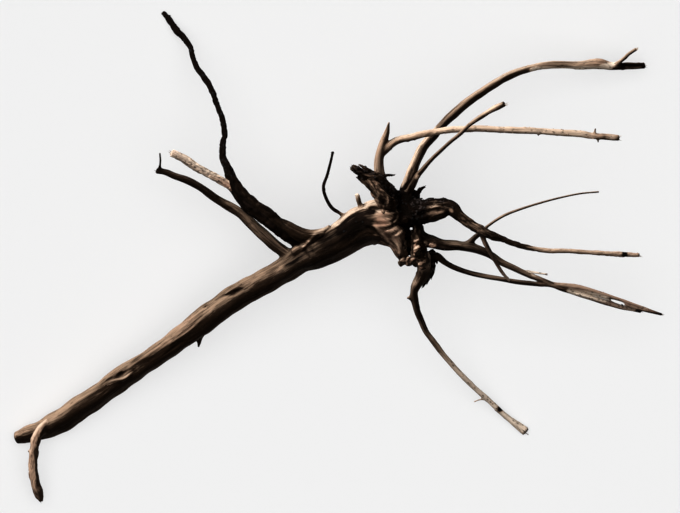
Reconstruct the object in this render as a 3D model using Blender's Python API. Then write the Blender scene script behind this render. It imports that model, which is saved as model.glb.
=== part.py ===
"""A piece of driftwood: the worn root end of a small tree, lying as it was washed up.

A tapering trunk runs from its rounded lower end to a knotted crown, where it splits into
seven bare roots. Two long side branches and a few short twigs leave the trunk on the way.
It all grew as one, so it is one solid. It lies on three low points: the trunk's lower end,
the tip of the long branch and the end of the leg root. +X runs with the length of the wood,
+Z is up, and the origin is under the middle of its outline, on the surface it lies on.
"""

import math

import bmesh
import bpy
import numpy as np
from mathutils import Vector, noise

# Driving dimensions, in millimetres
MM = 0.001
RING_STEP = 7.0                    # between the rings of the trunk and of the short ridges
TWIG_STEP = 10.0                   # between the rings of a twig
FLOOR_BLOCK = (900.0, 800.0, 60.0) # planes the three low points flat
WELD = 0.01                        # for the loose caps of a swept limb

# Wear, as shares of a limb's radius
TRUNK_FLUTES = 0.035
LIMB_FLUTES = 0.03
TRUNK_LUMPS = 0.12
LIMB_LUMPS = 0.16
TWIG_LUMPS = 0.10
BARK_LUMPS = 0.20
LUMP_LENGTH = 16.0                 # millimetres along the limb
LUMP_SPREAD = 0.8                  # how fast the lumps change round the limb

# Sides of a swept limb are four and twice its bevel
TRUNK_BEVEL = 6
TWIG_BEVEL = 1

# Wood finish
WOOD_COLOR = (0.105, 0.062, 0.040, 1.0)
WOOD_ROUGHNESS = 0.82

# Each limb is its centre line as (x, y, z, radius), from its root outwards.
TRUNK = [
    (-323.5, -183, 5.2, 6.0), (-315, -180.5, 6.4, 8.2), (-298, -174.5, 9.8, 10.0),
    (-278, -165, 13.5, 12.0), (-258, -151, 17, 11.8), (-238, -138, 21, 11.2),
    (-218, -123, 25, 12.2), (-198, -110, 28, 10.6), (-178, -97, 32, 10.8),
    (-158, -82, 35, 11.4), (-138, -68, 39, 12.8), (-118, -52.5, 43, 12.5),
    (-98, -39.5, 47, 12.5), (-78, -28.5, 51, 12.6), (-58, -16.5, 55, 12.6),
    (-38, -4, 59, 14.4), (-18, 5.5, 63, 16.6), (2, 16, 67, 17.5),
    (22, 29, 70, 19.4), (37, 32.5, 73, 20.5), (48, 29, 73, 20.0), (56, 23, 71, 13.0),
]
HOOKED_STUB = [
    (-288, -165, 14, 5.2), (-296, -172, 19, 5.4), (-303, -183, 22, 5.0),
    (-306, -196, 22, 4.6), (-306.5, -212, 20, 4.8), (-304.5, -228, 17, 5.0),
    (-301, -239, 14, 5.0), (-299, -246, 12, 2.4),
]
LONG_BRANCH = [
    (-29, 5, 60, 9.0), (-43, 18, 63, 9.0), (-56, 27, 66, 9.0), (-70, 38, 68, 8.6),
    (-84, 48, 69, 8.5), (-95, 58, 69, 8.0), (-106.5, 77, 67, 5.8), (-110.5, 88, 65, 4.6),
    (-115, 98, 62, 3.7), (-115.5, 108, 59, 3.4), (-113.5, 121, 54, 2.9),
    (-115, 134, 49, 2.8), (-122, 154, 41, 2.8), (-131, 175, 32, 3.0),
    (-142, 190, 24, 2.8), (-146, 199, 20, 2.6), (-148, 209, 15.5, 2.6),
    (-154, 218, 11, 3.0), (-163, 228, 6.5, 3.3), (-170, 238, 3, 3.0),
    (-176, 245, 1.5, 2.4),
]
PALE_STUB = [
    (-100, 64, 67, 4.6), (-116, 75, 72, 4.1), (-132, 83, 77, 4.0), (-146, 92, 82, 4.1),
    (-156, 98, 86, 4.0), (-165, 102.5, 89, 3.6),
]
SHORT_BRANCH = [
    (-42, -4, 56, 6.6), (-60, 8, 55, 5.9), (-80, 26, 53, 5.5), (-98, 43, 52, 5.0),
    (-120, 56, 52, 4.3), (-140, 70, 55, 3.7), (-151, 76, 57, 3.5), (-163, 80, 58, 3.4),
    (-173, 84, 58, 3.0), (-181, 85, 58, 2.7),
]
BRANCH_TWIG = [(-179, 85, 58, 1.5), (-177.5, 95, 62, 1.0), (-178, 102.5, 64, 0.8)]
TRUNK_TWIG = [
    (12, 31, 67, 2.8), (3, 42, 70, 1.9), (-5, 47, 73, 1.8), (-12, 58, 79, 1.7),
    (-14.5, 69, 84, 1.6), (-11, 80, 88, 1.5), (-8, 91, 92, 1.4), (-5, 103.5, 96, 1.2),
]
PALE_NUB = [(25, 42, 77, 3.8), (21, 54, 84, 2.7), (19, 61, 88, 2.1)]

# The crown: a dark knot, a heel under it and the folds of wood that run on into the roots
CROWN_KNOT = [(54, 32, 68, 15), (64, 42, 73, 15), (70, 52, 77, 14), (71, 64, 80, 9)]
CROWN_HEEL = [(48, 30, 62, 15), (62, 24, 58, 13), (72, 10, 57, 10), (82, -6, 62, 8.5)]
LOWER_FOLD = [(34, 24, 76, 10), (46, 20, 78, 9), (57, 14, 77, 7.5), (63.5, 4, 72, 6.5), (67, -5, 67, 4.5)]
MIDDLE_FOLD = [(34, 34, 82, 9), (48, 30, 84, 8.5), (58, 24, 82, 7.5), (62, 12, 76, 5)]
UPPER_FOLD = [(24, 40, 76, 9), (38, 46, 80, 9.5), (52, 43, 84, 9), (64, 38, 82, 8), (76, 32, 78, 6)]
RIGHT_FOLD = [(70, 42, 80, 9), (78, 30, 80, 7), (80.5, 16, 80, 7.5), (81, 4, 77, 8), (86, -8, 71, 8)]
BRANCH_FOLD = [(-44, 3, 67, 5), (-30, 12, 70, 5), (-18, 22, 72, 4.5), (-8, 29, 73, 2.5)]
BRANCH_WEB = [(-58, 32, 67, 6.5), (-44, 24, 68, 7.5), (-30, 19, 70, 7.5), (-14, 21, 71, 7.5)]

# The ragged flange of bark that stands up from the crown, ridge by ridge
BARK_RIDGES = [
    [(60, 60, 84, 6.0), (47, 74, 97, 5.2), (34, 83, 105, 4.0), (26, 88, 108, 2.0), (21, 91, 109, 0.9)],
    [(58, 52, 86, 6.5), (42, 68, 100, 6.0), (28, 80, 108, 4.8), (20, 85, 111, 4.0), (14.5, 88, 112, 2.8)],
    [(54, 45, 86, 6.5), (41, 62, 98, 5.8), (29.5, 73.5, 104, 4.6), (20.5, 79, 106, 2.6)],
    [(50, 41, 82, 6.5), (43, 54, 92, 5.2), (35.5, 65, 98, 4.0), (29, 72, 100, 1.8)],
    [(56, 50, 92, 5.0), (46, 59, 102, 4.4), (37, 69, 107, 3.2), (30, 77, 110, 1.6)],
    [(64, 58, 80, 5.2), (55, 70, 90, 4.2), (48, 78, 95, 2.4)],
]
BARK_SPIKES = [
    [(44, 79, 95, 2.0), (50, 80.5, 97, 1.3), (56, 80.5, 98, 0.7)],
    [(78, 60, 82, 2.6), (82, 66, 84, 1.8), (86, 69, 85, 1.0)],
    [(90, 0, 66, 4.0), (93.5, -8, 64, 2.8), (95, -14, 62, 1.2)],
    [(88, -10, 66, 4.0), (92, -18, 63, 2.4), (91, -24, 61, 0.9)],
    [(84, -18, 63, 3.6), (87, -25, 60, 2.0), (85, -29, 58, 0.8)],
]
NODULES = [
    (79, 6, 87, 4.2), (95, 11, 84, 3.8), (86, -6, 79, 5.0), (72, -7, 70, 5.0),
    (65, -6, 68, 5.0), (80, 14, 87, 3.4),
]

LOW_ROOT = [
    (66, 56, 74, 8.5), (70, 72, 72, 6.0), (74, 84, 70, 5.2), (84.5, 107, 66, 4.7),
    (97.5, 123, 62, 4.5), (112.5, 139, 58, 4.5), (130, 154, 53, 4.4), (148, 166.5, 48, 4.2),
    (172, 181, 42, 4.0), (202, 190.3, 35, 3.6), (222, 192, 31, 3.7), (242, 191.5, 27, 4.0),
    (263, 193, 23, 5.6), (275, 191, 20.5, 4.2), (294, 191, 16, 3.5), (307.5, 191.5, 13, 3.2),
]
LOW_ROOT_TWIG = [(274, 190, 20, 2.4), (287, 198, 24, 1.7), (292, 203, 27, 1.4), (299, 207.5, 30, 1.2)]
HORN = [
    (58, 48, 72, 8.0), (48, 62, 76, 7.5), (41, 84, 88, 5.2), (41, 96, 95, 4.7), (43, 106, 100, 4.6),
    (46, 115, 104, 4.0), (48.5, 123, 109, 2.6), (50.5, 132.5, 114, 0.9),
]
HORN_ROOT = [
    (44, 102, 98, 3.6), (50, 109, 102, 4.2), (57, 114, 104, 3.9), (72, 118, 107, 3.3),
    (97, 123.3, 110, 2.8), (127, 126.3, 112, 2.7), (162, 125, 111, 2.5), (202, 123.3, 108, 2.5),
    (242, 121, 103, 2.6), (262, 118.5, 100, 2.9), (279, 117.5, 97, 2.5),
]
HORN_ROOT_SPIKES = [
    [(255, 121, 102, 1.8), (256, 126.5, 104, 0.7)],
    [(258, 118, 100, 1.8), (259, 113.5, 99, 0.7)],
    [(200, 122.5, 108, 1.6), (199, 120, 108, 0.9)],
]
HIGH_ROOT = [
    (70, 62, 84, 4.6), (75, 72, 92, 3.2), (79, 80, 98, 2.8), (85, 87, 103, 2.4),
    (93, 96, 109, 2.0), (102.5, 105, 115, 1.9), (112.5, 114, 119, 1.9), (122, 122, 123, 2.0),
    (131, 130.5, 127, 2.1), (141, 137.5, 130, 2.4), (150.5, 143.5, 133, 2.6),
    (158, 147.5, 135, 2.6), (164.5, 150.5, 137, 2.1),
]
ARM_ROOT = [
    (64, 41, 80, 12.0), (82, 43, 88, 11.8), (92, 44.5, 94, 11.0), (102, 46.5, 99, 9.6),
    (111, 47.5, 103, 8.0), (120, 41, 105, 5.8), (131, 32, 106, 5.0), (142, 25.5, 106, 4.9),
    (152, 20.5, 105, 4.4), (162, 17, 103, 3.2), (182, 10, 100, 2.8), (202, 6, 96, 2.4),
    (232, 4.7, 91, 2.4), (262, 2.7, 86, 2.4), (287, 1.5, 81, 2.6), (300, 1, 79, 2.0),
]
ARM_RIDGES = [
    [(74, 51.5, 88, 5), (88, 52.5, 97, 4), (100, 53.5, 103, 3.4), (110, 54, 105, 2.4), (118, 48, 102, 1.2)],
    [(74, 44, 95, 5), (90, 48, 102, 4.2), (104, 50, 107, 3.2), (113, 48, 108, 2.2), (122, 41, 105, 1.5)],
]
ARM_TWIG = [
    (141, 26, 105, 3.6), (146, 14, 102, 2.6), (152, 3, 96, 2.1), (159, -9, 88, 1.8),
    (165, -18, 81, 1.6), (171, -24.5, 76.5, 1.2),
]
MIDDLE_ROOT = [
    (68, 28, 72, 9.0), (80, 20, 76, 7.2), (91, 14.5, 79, 6.8), (102, 11.5, 82, 5.8),
    (122, 10, 84, 5.0), (137, 7.5, 83, 4.5), (152, 1, 80, 3.8), (162, -5.5, 78, 3.5),
    (182, -15, 73, 3.0), (202, -23.5, 69, 2.8), (222, -31.5, 65, 2.9), (242, -38, 61, 2.9),
    (262, -44.5, 57, 2.7), (282, -50.3, 52, 2.5), (303, -55.5, 46, 1.6),
]
LOWER_ROOT = [
    (78, 4, 66, 7.0), (90, 0, 68, 4.8), (99, -0.5, 70, 4.0), (107, -6.5, 71, 2.9),
    (122, -13.8, 72, 2.6), (142, -19.5, 71, 2.5), (162, -23, 70, 2.4), (182, -26.3, 69, 2.3),
    (202, -28, 68, 2.5), (222, -29.5, 66, 3.2), (242, -32.5, 63, 3.4), (262, -38.5, 60, 3.3),
    (282, -45, 56, 3.0), (302, -52, 52, 2.6), (324, -58.5, 47, 1.2),
]
LONG_TWIG = [
    (129, 12, 83, 3.8), (139, 20.5, 88, 2.6), (147, 28, 90, 1.6), (162, 38.5, 91, 1.5),
    (182, 46.8, 90, 1.3), (202, 53, 87, 1.1), (222, 58.3, 84, 1.0), (242, 62.3, 81, 0.9),
    (260, 64, 78, 0.8),
]
SPLINTER = [(188, -15, 72, 1.6), (196, -16.5, 72, 1.2), (207, -18, 72, 0.7)]
LEG_ROOT = [
    (84, 0, 74, 8.0), (86, -12, 68, 7.6), (84, -20, 64, 6.2), (79, -28, 61, 5.0),
    (76, -36, 58, 4.2), (76.5, -44, 55, 4.0), (79, -54, 51, 3.3), (83, -64, 47, 3.1),
    (88, -75, 43, 3.0), (95, -85, 39, 2.9), (110, -104, 30, 2.7), (130.5, -126, 20, 2.6),
    (153.5, -147, 10.5, 2.7), (174, -165.5, 5, 3.0), (183, -172, 3, 3.8), (188.5, -176.5, 2.6, 4.2),
]
LEG_NUB = [(73, -42, 56, 2.6), (69.5, -42, 56, 1.2)]
LEG_HAIR = [(151, -145, 11, 1.2), (144, -144, 13, 0.7), (137, -146.5, 14, 0.6)]
THORN = [(-137, -76, 38, 4.6), (-139, -84.5, 36, 2.8), (-140, -91, 35, 0.9)]
STUB_NUB = [(-306, -196, 22, 2.8), (-311, -196, 22, 1.4)]
KNOT_LIPS = [
    [(-237, -131, 31, 2.0), (-226, -126, 34, 2.4), (-214, -123, 37, 2.2), (-203, -112, 35, 1.4)],
    [(-112, -39, 53, 2.0), (-104, -34, 56, 2.4), (-96, -29, 56, 1.8)],
]

# Worn hollows of lost side shoots: (x, y, z, half length, half width, half depth, turn in degrees)
KNOT_HOLLOWS = [
    (-221, -117.5, 36, 12, 4.0, 5.0, 36), (-108, -32, 55, 4.5, 2.4, 4.0, 34),
    (-101, -36, 57, 5.0, 2.2, 4.0, 34), (-133, -51, 48, 5.0, 2.0, 4.0, 40),
    (70, 8, 80, 3.6, 15.0, 13.0, 6),
]


def smooth_path(points, step):
    """Points about a step apart on the smooth curve through hand-placed (x, y, z, radius) points."""
    knots = np.array(points, float)
    gaps = np.linalg.norm(np.diff(knots[:, :3], axis=0), axis=1)
    at = np.concatenate([[0.0], np.cumsum(gaps)])
    slopes = np.gradient(knots, at, axis=0)
    count = max(2, round(at[-1] / step)) + 1
    path = []
    for s in np.linspace(0.0, at[-1], count):
        i = min(int(np.searchsorted(at, s, side="right")) - 1, len(gaps) - 1)
        h = gaps[i]
        t = (s - at[i]) / h
        path.append(
            (2 * t**3 - 3 * t**2 + 1) * knots[i]
            + (t**3 - 2 * t**2 + t) * h * slopes[i]
            + (3 * t**2 - 2 * t**3) * knots[i + 1]
            + (t**3 - t**2) * h * slopes[i + 1]
        )
    return np.array(path)


def weathered(reach, angle, seed, flutes, lumps):
    """The share of its radius that a limb has, at its reach along it and an angle round it."""
    broad = math.cos(3 * angle + reach / 60 + seed)
    narrow = 0.7 * math.cos(5 * angle - reach / 45 + 2 * seed)
    round_y = LUMP_SPREAD * math.cos(angle)
    round_z = LUMP_SPREAD * math.sin(angle)
    lump = noise.noise(Vector((reach / LUMP_LENGTH, round_y + seed, round_z)))
    return 1 + flutes * (broad + narrow) + lumps * lump


def limb(name, points, bevel, step, seed, flutes, lumps):
    """One closed limb: a curve swept round, made a mesh, with its caps welded and its surface worn."""
    path = smooth_path(points, step)
    curve = bpy.data.curves.new(name, "CURVE")
    curve.dimensions = "3D"
    curve.bevel_depth = MM
    curve.bevel_resolution = bevel
    curve.use_fill_caps = True
    spline = curve.splines.new("POLY")
    spline.points.add(len(path) - 1)
    for place, (x, y, z, radius) in zip(spline.points, path):
        place.co = (x * MM, y * MM, z * MM, 1.0)
        place.radius = radius
    swept = bpy.data.objects.new(name + "_sweep", curve)
    bpy.context.scene.collection.objects.link(swept)
    bpy.context.view_layer.update()
    seen = swept.evaluated_get(bpy.context.evaluated_depsgraph_get())
    mesh = bpy.data.meshes.new_from_object(seen)
    bpy.data.objects.remove(swept)
    body = bmesh.new()
    body.from_mesh(mesh)
    bmesh.ops.remove_doubles(body, verts=body.verts, dist=WELD * MM)
    wear(body, path, seed, flutes, lumps)
    bmesh.ops.recalc_face_normals(body, faces=body.faces)
    body.to_mesh(mesh)
    body.free()
    return bpy.data.objects.new(name, mesh)


def wear(body, path, seed, flutes, lumps):
    """Moves each point of a swept limb in or out from the centre line, by the weathered surface."""
    centres = path[:, :3]
    steps = np.linalg.norm(np.diff(centres, axis=0), axis=1)
    reach = np.concatenate([[0.0], np.cumsum(steps)])
    tangents = np.gradient(centres, axis=0)
    for vert in body.verts:
        offset = np.array(vert.co) / MM - centres
        i = int(np.argmin(np.linalg.norm(offset, axis=1)))
        along = tangents[i] / np.linalg.norm(tangents[i])
        side = np.cross(along, (0.0, 0.0, 1.0))
        side /= np.linalg.norm(side)
        up = np.cross(side, along)
        angle = math.atan2(float(offset[i] @ side), float(offset[i] @ up))
        share = weathered(float(reach[i]), angle, seed, flutes, lumps)
        vert.co = Vector((centres[i] + offset[i] * share) * MM)


def ball(name, x, y, z, radius):
    """A rounded nodule."""
    body = bmesh.new()
    bmesh.ops.create_icosphere(body, subdivisions=2, radius=radius * MM)
    bmesh.ops.translate(body, verts=body.verts, vec=Vector((x, y, z)) * MM)
    mesh = bpy.data.meshes.new(name)
    body.to_mesh(mesh)
    body.free()
    return bpy.data.objects.new(name, mesh)


def hollow(name, x, y, z, half_length, half_width, half_depth, turn):
    """A cutter the shape of a stretched ball, turned about the vertical."""
    bpy.ops.mesh.primitive_uv_sphere_add(segments=10, ring_count=7, radius=MM)
    cutter = bpy.context.object
    cutter.name = name
    cutter.scale = (half_length, half_width, half_depth)
    cutter.rotation_euler = (0, 0, math.radians(turn))
    cutter.location = Vector((x, y, z)) * MM
    return cutter


def grown_limbs():
    """Every limb but the trunk, each rooted well inside what it grows from.

    A long limb has its centre line, its bevel and the distance between its rings.
    """
    long_ones = {
        "long_branch": (LONG_BRANCH, 2, 7.0), "pale_stub": (PALE_STUB, 2, 10.0),
        "short_branch": (SHORT_BRANCH, 2, 10.0), "hooked_stub": (HOOKED_STUB, 2, 7.5),
        "low_root": (LOW_ROOT, 2, 10.0), "horn": (HORN, 2, 8.0), "horn_root": (HORN_ROOT, 1, 11.0),
        "high_root": (HIGH_ROOT, 1, 10.0), "arm_root": (ARM_ROOT, 2, 8.5),
        "middle_root": (MIDDLE_ROOT, 2, 10.0), "lower_root": (LOWER_ROOT, 1, 10.0),
        "leg_root": (LEG_ROOT, 2, 9.0), "crown_knot": (CROWN_KNOT, 3, 7.0),
        "crown_heel": (CROWN_HEEL, 3, 8.0), "lower_fold": (LOWER_FOLD, 3, 7.0),
        "middle_fold": (MIDDLE_FOLD, 3, 7.0), "upper_fold": (UPPER_FOLD, 3, 7.0),
        "right_fold": (RIGHT_FOLD, 3, 7.0), "branch_fold": (BRANCH_FOLD, 2, 6.0),
        "branch_web": (BRANCH_WEB, 2, 6.0),
    }
    short_ones = {
        "branch_twig": BRANCH_TWIG, "trunk_twig": TRUNK_TWIG, "pale_nub": PALE_NUB,
        "low_root_twig": LOW_ROOT_TWIG, "arm_twig": ARM_TWIG, "long_twig": LONG_TWIG,
        "splinter": SPLINTER, "leg_nub": LEG_NUB, "leg_hair": LEG_HAIR, "thorn": THORN,
        "stub_nub": STUB_NUB,
    }
    groups = {
        "bark_ridge": BARK_RIDGES, "bark_spike": BARK_SPIKES, "arm_ridge": ARM_RIDGES,
        "horn_root_spike": HORN_ROOT_SPIKES, "knot_lip": KNOT_LIPS,
    }
    made = []
    for seed, (name, (points, bevel, step)) in enumerate(long_ones.items()):
        made.append(limb(name, points, bevel, step, seed + 1.0, LIMB_FLUTES, LIMB_LUMPS))
    for seed, (name, points) in enumerate(short_ones.items()):
        made.append(limb(name, points, TWIG_BEVEL, TWIG_STEP, seed + 0.5, 0.0, TWIG_LUMPS))
    for group, rows in groups.items():
        for number, points in enumerate(rows):
            name = f"{group}_{number}"
            made.append(limb(name, points, TWIG_BEVEL, RING_STEP, number + 0.3, 0.0, BARK_LUMPS))
    for number, nodule in enumerate(NODULES):
        made.append(ball(f"nodule_{number}", *nodule))
    return made


def apply_boolean(body, operation, **operand):
    """Joins or cuts the body in place, and leaves a plain mesh."""
    step = body.modifiers.new(operation.lower(), "BOOLEAN")
    step.operation = operation
    for key, value in operand.items():
        setattr(step, key, value)
    bpy.context.view_layer.update()
    seen = body.evaluated_get(bpy.context.evaluated_depsgraph_get())
    result = bpy.data.meshes.new_from_object(seen)
    body.modifiers.clear()
    body.data = result


def join_all(body, limbs):
    """One union of the trunk with everything that grows from it."""
    grown = bpy.data.collections.new("limbs")
    bpy.context.scene.collection.children.link(grown)
    for each in limbs:
        grown.objects.link(each)
    apply_boolean(body, "UNION", operand_type="COLLECTION", collection=grown)
    for each in limbs:
        bpy.data.objects.remove(each)
    bpy.data.collections.remove(grown)


def cut_all(body, cutters):
    """Takes each cutter out of the body."""
    for each in cutters:
        each.hide_render = True
        each.display_type = "WIRE"
        apply_boolean(body, "DIFFERENCE", operand_type="OBJECT", object=each)
        bpy.data.objects.remove(each)


def drop_scraps(body):
    """Keeps the outer shell alone, so that the slivers sealed in between fused limbs are filled."""
    shell = bmesh.new()
    shell.from_mesh(body.data)
    left = set(shell.verts)
    pieces = []
    while left:
        piece = {left.pop()}
        rim = set(piece)
        while rim:
            near = {edge.other_vert(vert) for vert in rim for edge in vert.link_edges}
            rim = near & left
            left -= rim
            piece |= rim
        pieces.append(piece)
    pieces.sort(key=len, reverse=True)
    scraps = [vert for piece in pieces[1:] for vert in piece]
    print("scraps filled", [len(piece) for piece in pieces[1:]])
    bmesh.ops.delete(shell, geom=scraps, context="VERTS")
    shell.to_mesh(body.data)
    shell.free()


def floor_block():
    """The block under the surface, which planes the three low points flat."""
    bpy.ops.mesh.primitive_cube_add(size=MM)
    block = bpy.context.object
    block.name = "floor_block"
    block.scale = FLOOR_BLOCK
    block.location = (0, 0, -FLOOR_BLOCK[2] / 2 * MM)
    return block


def wood():
    """Weathered brown wood."""
    material = bpy.data.materials.new("weathered_wood")
    material.use_nodes = True
    shader = material.node_tree.nodes["Principled BSDF"]
    shader.inputs["Base Color"].default_value = WOOD_COLOR
    shader.inputs["Roughness"].default_value = WOOD_ROUGHNESS
    shader.inputs["Metallic"].default_value = 0.0
    return material


def main():
    for old in list(bpy.data.objects):
        bpy.data.objects.remove(old)
    part = bpy.data.collections.new("piece_of_driftwood")
    bpy.context.scene.collection.children.link(part)
    body = limb("driftwood", TRUNK, TRUNK_BEVEL, RING_STEP, 0.0, TRUNK_FLUTES, TRUNK_LUMPS)
    part.objects.link(body)
    join_all(body, grown_limbs())
    cut_all(body, [hollow(f"knot_hollow_{i}", *row) for i, row in enumerate(KNOT_HOLLOWS)])
    cut_all(body, [floor_block()])
    drop_scraps(body)
    body.data.materials.clear()
    body.data.materials.append(wood())
    body.data.shade_smooth()
    print("triangles", sum(len(face.vertices) - 2 for face in body.data.polygons))


main()
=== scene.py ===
# %% [markdown]
# # A piece of driftwood
#
# The worn root end of a small tree, washed up and bleached. A tapering trunk runs up to a
# knotted crown, and there it splits into seven bare roots. It all grew as one, so it is one
# closed mesh here too. This lesson sweeps each limb with its own wear, joins them in one
# union, softens the joints, and then paints the weathering where the sea has reached, and
# painted light and shade by which side faces the key light.
#
# The imported CAD model comes first. It is the fixed frame, and the finer piece keeps its form.

# %% Load the imported part
import math

import bmesh
import bpy
import numpy as np
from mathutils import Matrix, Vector, noise


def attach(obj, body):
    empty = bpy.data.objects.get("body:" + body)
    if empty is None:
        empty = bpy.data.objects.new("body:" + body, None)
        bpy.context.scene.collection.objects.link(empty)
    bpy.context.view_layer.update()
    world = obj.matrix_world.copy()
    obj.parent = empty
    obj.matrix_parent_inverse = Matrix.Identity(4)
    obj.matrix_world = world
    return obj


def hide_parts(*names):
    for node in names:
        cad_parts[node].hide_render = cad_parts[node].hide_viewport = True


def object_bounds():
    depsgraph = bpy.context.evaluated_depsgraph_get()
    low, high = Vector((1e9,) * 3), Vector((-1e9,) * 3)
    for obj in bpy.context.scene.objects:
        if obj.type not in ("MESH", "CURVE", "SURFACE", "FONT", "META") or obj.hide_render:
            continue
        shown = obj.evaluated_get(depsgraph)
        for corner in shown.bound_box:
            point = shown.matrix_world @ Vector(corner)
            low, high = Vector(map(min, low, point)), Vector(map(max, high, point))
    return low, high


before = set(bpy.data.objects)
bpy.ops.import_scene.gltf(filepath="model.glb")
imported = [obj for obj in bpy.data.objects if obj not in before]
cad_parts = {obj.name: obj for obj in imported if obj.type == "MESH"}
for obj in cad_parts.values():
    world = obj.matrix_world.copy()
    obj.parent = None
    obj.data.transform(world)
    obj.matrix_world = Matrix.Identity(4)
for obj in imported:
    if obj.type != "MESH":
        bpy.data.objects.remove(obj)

CAD_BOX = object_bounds()

# %% [markdown]
# ## The centre lines
#
# Every limb of the wood is a line of points (x, y, z, radius) in millimetres, from its root
# outwards. They are the same points as in the CAD source, because the visual piece has to
# lie exactly where the solid does. A smooth curve goes through them.

# %% The trunk and the side branches
MM = 0.001
TRUNK = [
    (-323.5, -183, 5.2, 6.0), (-315, -180.5, 6.4, 8.2), (-298, -174.5, 9.8, 10.0),
    (-278, -165, 13.5, 12.0), (-258, -151, 17, 11.8), (-238, -138, 21, 11.2),
    (-218, -123, 25, 12.2), (-198, -110, 28, 10.6), (-178, -97, 32, 10.8),
    (-158, -82, 35, 11.4), (-138, -68, 39, 12.8), (-118, -52.5, 43, 12.5),
    (-98, -39.5, 47, 12.5), (-78, -28.5, 51, 12.6), (-58, -16.5, 55, 12.6),
    (-38, -4, 59, 14.4), (-18, 5.5, 63, 16.6), (2, 16, 67, 17.5),
    (22, 29, 70, 19.4), (37, 32.5, 73, 20.5), (48, 29, 73, 20.0), (56, 23, 71, 13.0),
]
LONG_BRANCH = [
    (-29, 5, 60, 9.0), (-43, 18, 63, 9.0), (-56, 27, 66, 9.0), (-70, 38, 68, 8.6),
    (-84, 48, 69, 8.5), (-95, 58, 69, 8.0), (-106.5, 77, 67, 5.8), (-110.5, 88, 65, 4.6),
    (-115, 98, 62, 3.7), (-115.5, 108, 59, 3.4), (-113.5, 121, 54, 2.9),
    (-115, 134, 49, 2.8), (-122, 154, 41, 2.8), (-131, 175, 32, 3.0),
    (-142, 190, 24, 2.8), (-146, 199, 20, 2.6), (-148, 209, 15.5, 2.6),
    (-154, 218, 11, 3.0), (-163, 228, 6.5, 3.3), (-170, 238, 3, 3.0),
    (-176, 245, 1.5, 2.4),
]
PALE_STUB = [
    (-100, 64, 67, 4.6), (-116, 75, 72, 4.1), (-132, 83, 77, 4.0), (-146, 92, 82, 4.1),
    (-156, 98, 86, 4.0), (-165, 102.5, 89, 3.6),
]
SHORT_BRANCH = [
    (-42, -4, 56, 6.6), (-60, 8, 55, 5.9), (-80, 26, 53, 5.5), (-98, 43, 52, 5.0),
    (-120, 56, 52, 4.3), (-140, 70, 55, 3.7), (-151, 76, 57, 3.5), (-163, 80, 58, 3.4),
    (-173, 84, 58, 3.0), (-181, 85, 58, 2.7),
]
HOOKED_STUB = [
    (-288, -165, 14, 5.2), (-296, -172, 19, 5.4), (-303, -183, 22, 5.0),
    (-306, -196, 22, 4.6), (-306.5, -212, 20, 4.8), (-304.5, -228, 17, 5.0),
    (-301, -239, 14, 5.0), (-299, -246, 12, 2.4),
]
BRANCH_TWIG = [(-179, 85, 58, 1.5), (-177.5, 95, 62, 1.0), (-178, 102.5, 64, 0.8)]
TRUNK_TWIG = [
    (12, 31, 67, 2.8), (3, 42, 70, 1.9), (-5, 47, 73, 1.8), (-12, 58, 79, 1.7),
    (-14.5, 69, 84, 1.6), (-11, 80, 88, 1.5), (-8, 91, 92, 1.4), (-5, 103.5, 96, 1.2),
]
PALE_NUB = [(25, 42, 77, 3.8), (21, 54, 84, 2.7), (19, 61, 88, 2.1)]
THORN = [(-137, -76, 38, 4.6), (-139, -84.5, 36, 2.8), (-140, -91, 35, 0.9)]
STUB_NUB = [(-306, -196, 22, 2.8), (-311, -196, 22, 1.4)]
KNOT_LIPS = [
    [(-237, -131, 31, 2.0), (-226, -126, 34, 2.4), (-214, -123, 37, 2.2), (-203, -112, 35, 1.4)],
    [(-112, -39, 53, 2.0), (-104, -34, 56, 2.4), (-96, -29, 56, 1.8)],
]
print("trunk and branches", len(TRUNK) + len(LONG_BRANCH) + len(SHORT_BRANCH), "points")

# %% The crown: knot, heel, folds and the ragged flange of bark
CROWN_KNOT = [(54, 32, 68, 15), (64, 42, 73, 15), (70, 52, 77, 14), (71, 64, 80, 9)]
CROWN_HEEL = [(48, 30, 62, 15), (62, 24, 58, 13), (72, 10, 57, 10), (82, -6, 62, 8.5)]
LOWER_FOLD = [(34, 24, 76, 10), (46, 20, 78, 9), (57, 14, 77, 7.5), (63.5, 4, 72, 6.5), (67, -5, 67, 4.5)]
MIDDLE_FOLD = [(34, 34, 82, 9), (48, 30, 84, 8.5), (58, 24, 82, 7.5), (62, 12, 76, 5)]
UPPER_FOLD = [(24, 40, 76, 9), (38, 46, 80, 9.5), (52, 43, 84, 9), (64, 38, 82, 8), (76, 32, 78, 6)]
RIGHT_FOLD = [(70, 42, 80, 9), (78, 30, 80, 7), (80.5, 16, 80, 7.5), (81, 4, 77, 8), (86, -8, 71, 8)]
BRANCH_FOLD = [(-44, 3, 67, 5), (-30, 12, 70, 5), (-18, 22, 72, 4.5), (-8, 29, 73, 2.5)]
BRANCH_WEB = [(-58, 32, 67, 6.5), (-44, 24, 68, 7.5), (-30, 19, 70, 7.5), (-14, 21, 71, 7.5)]
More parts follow.
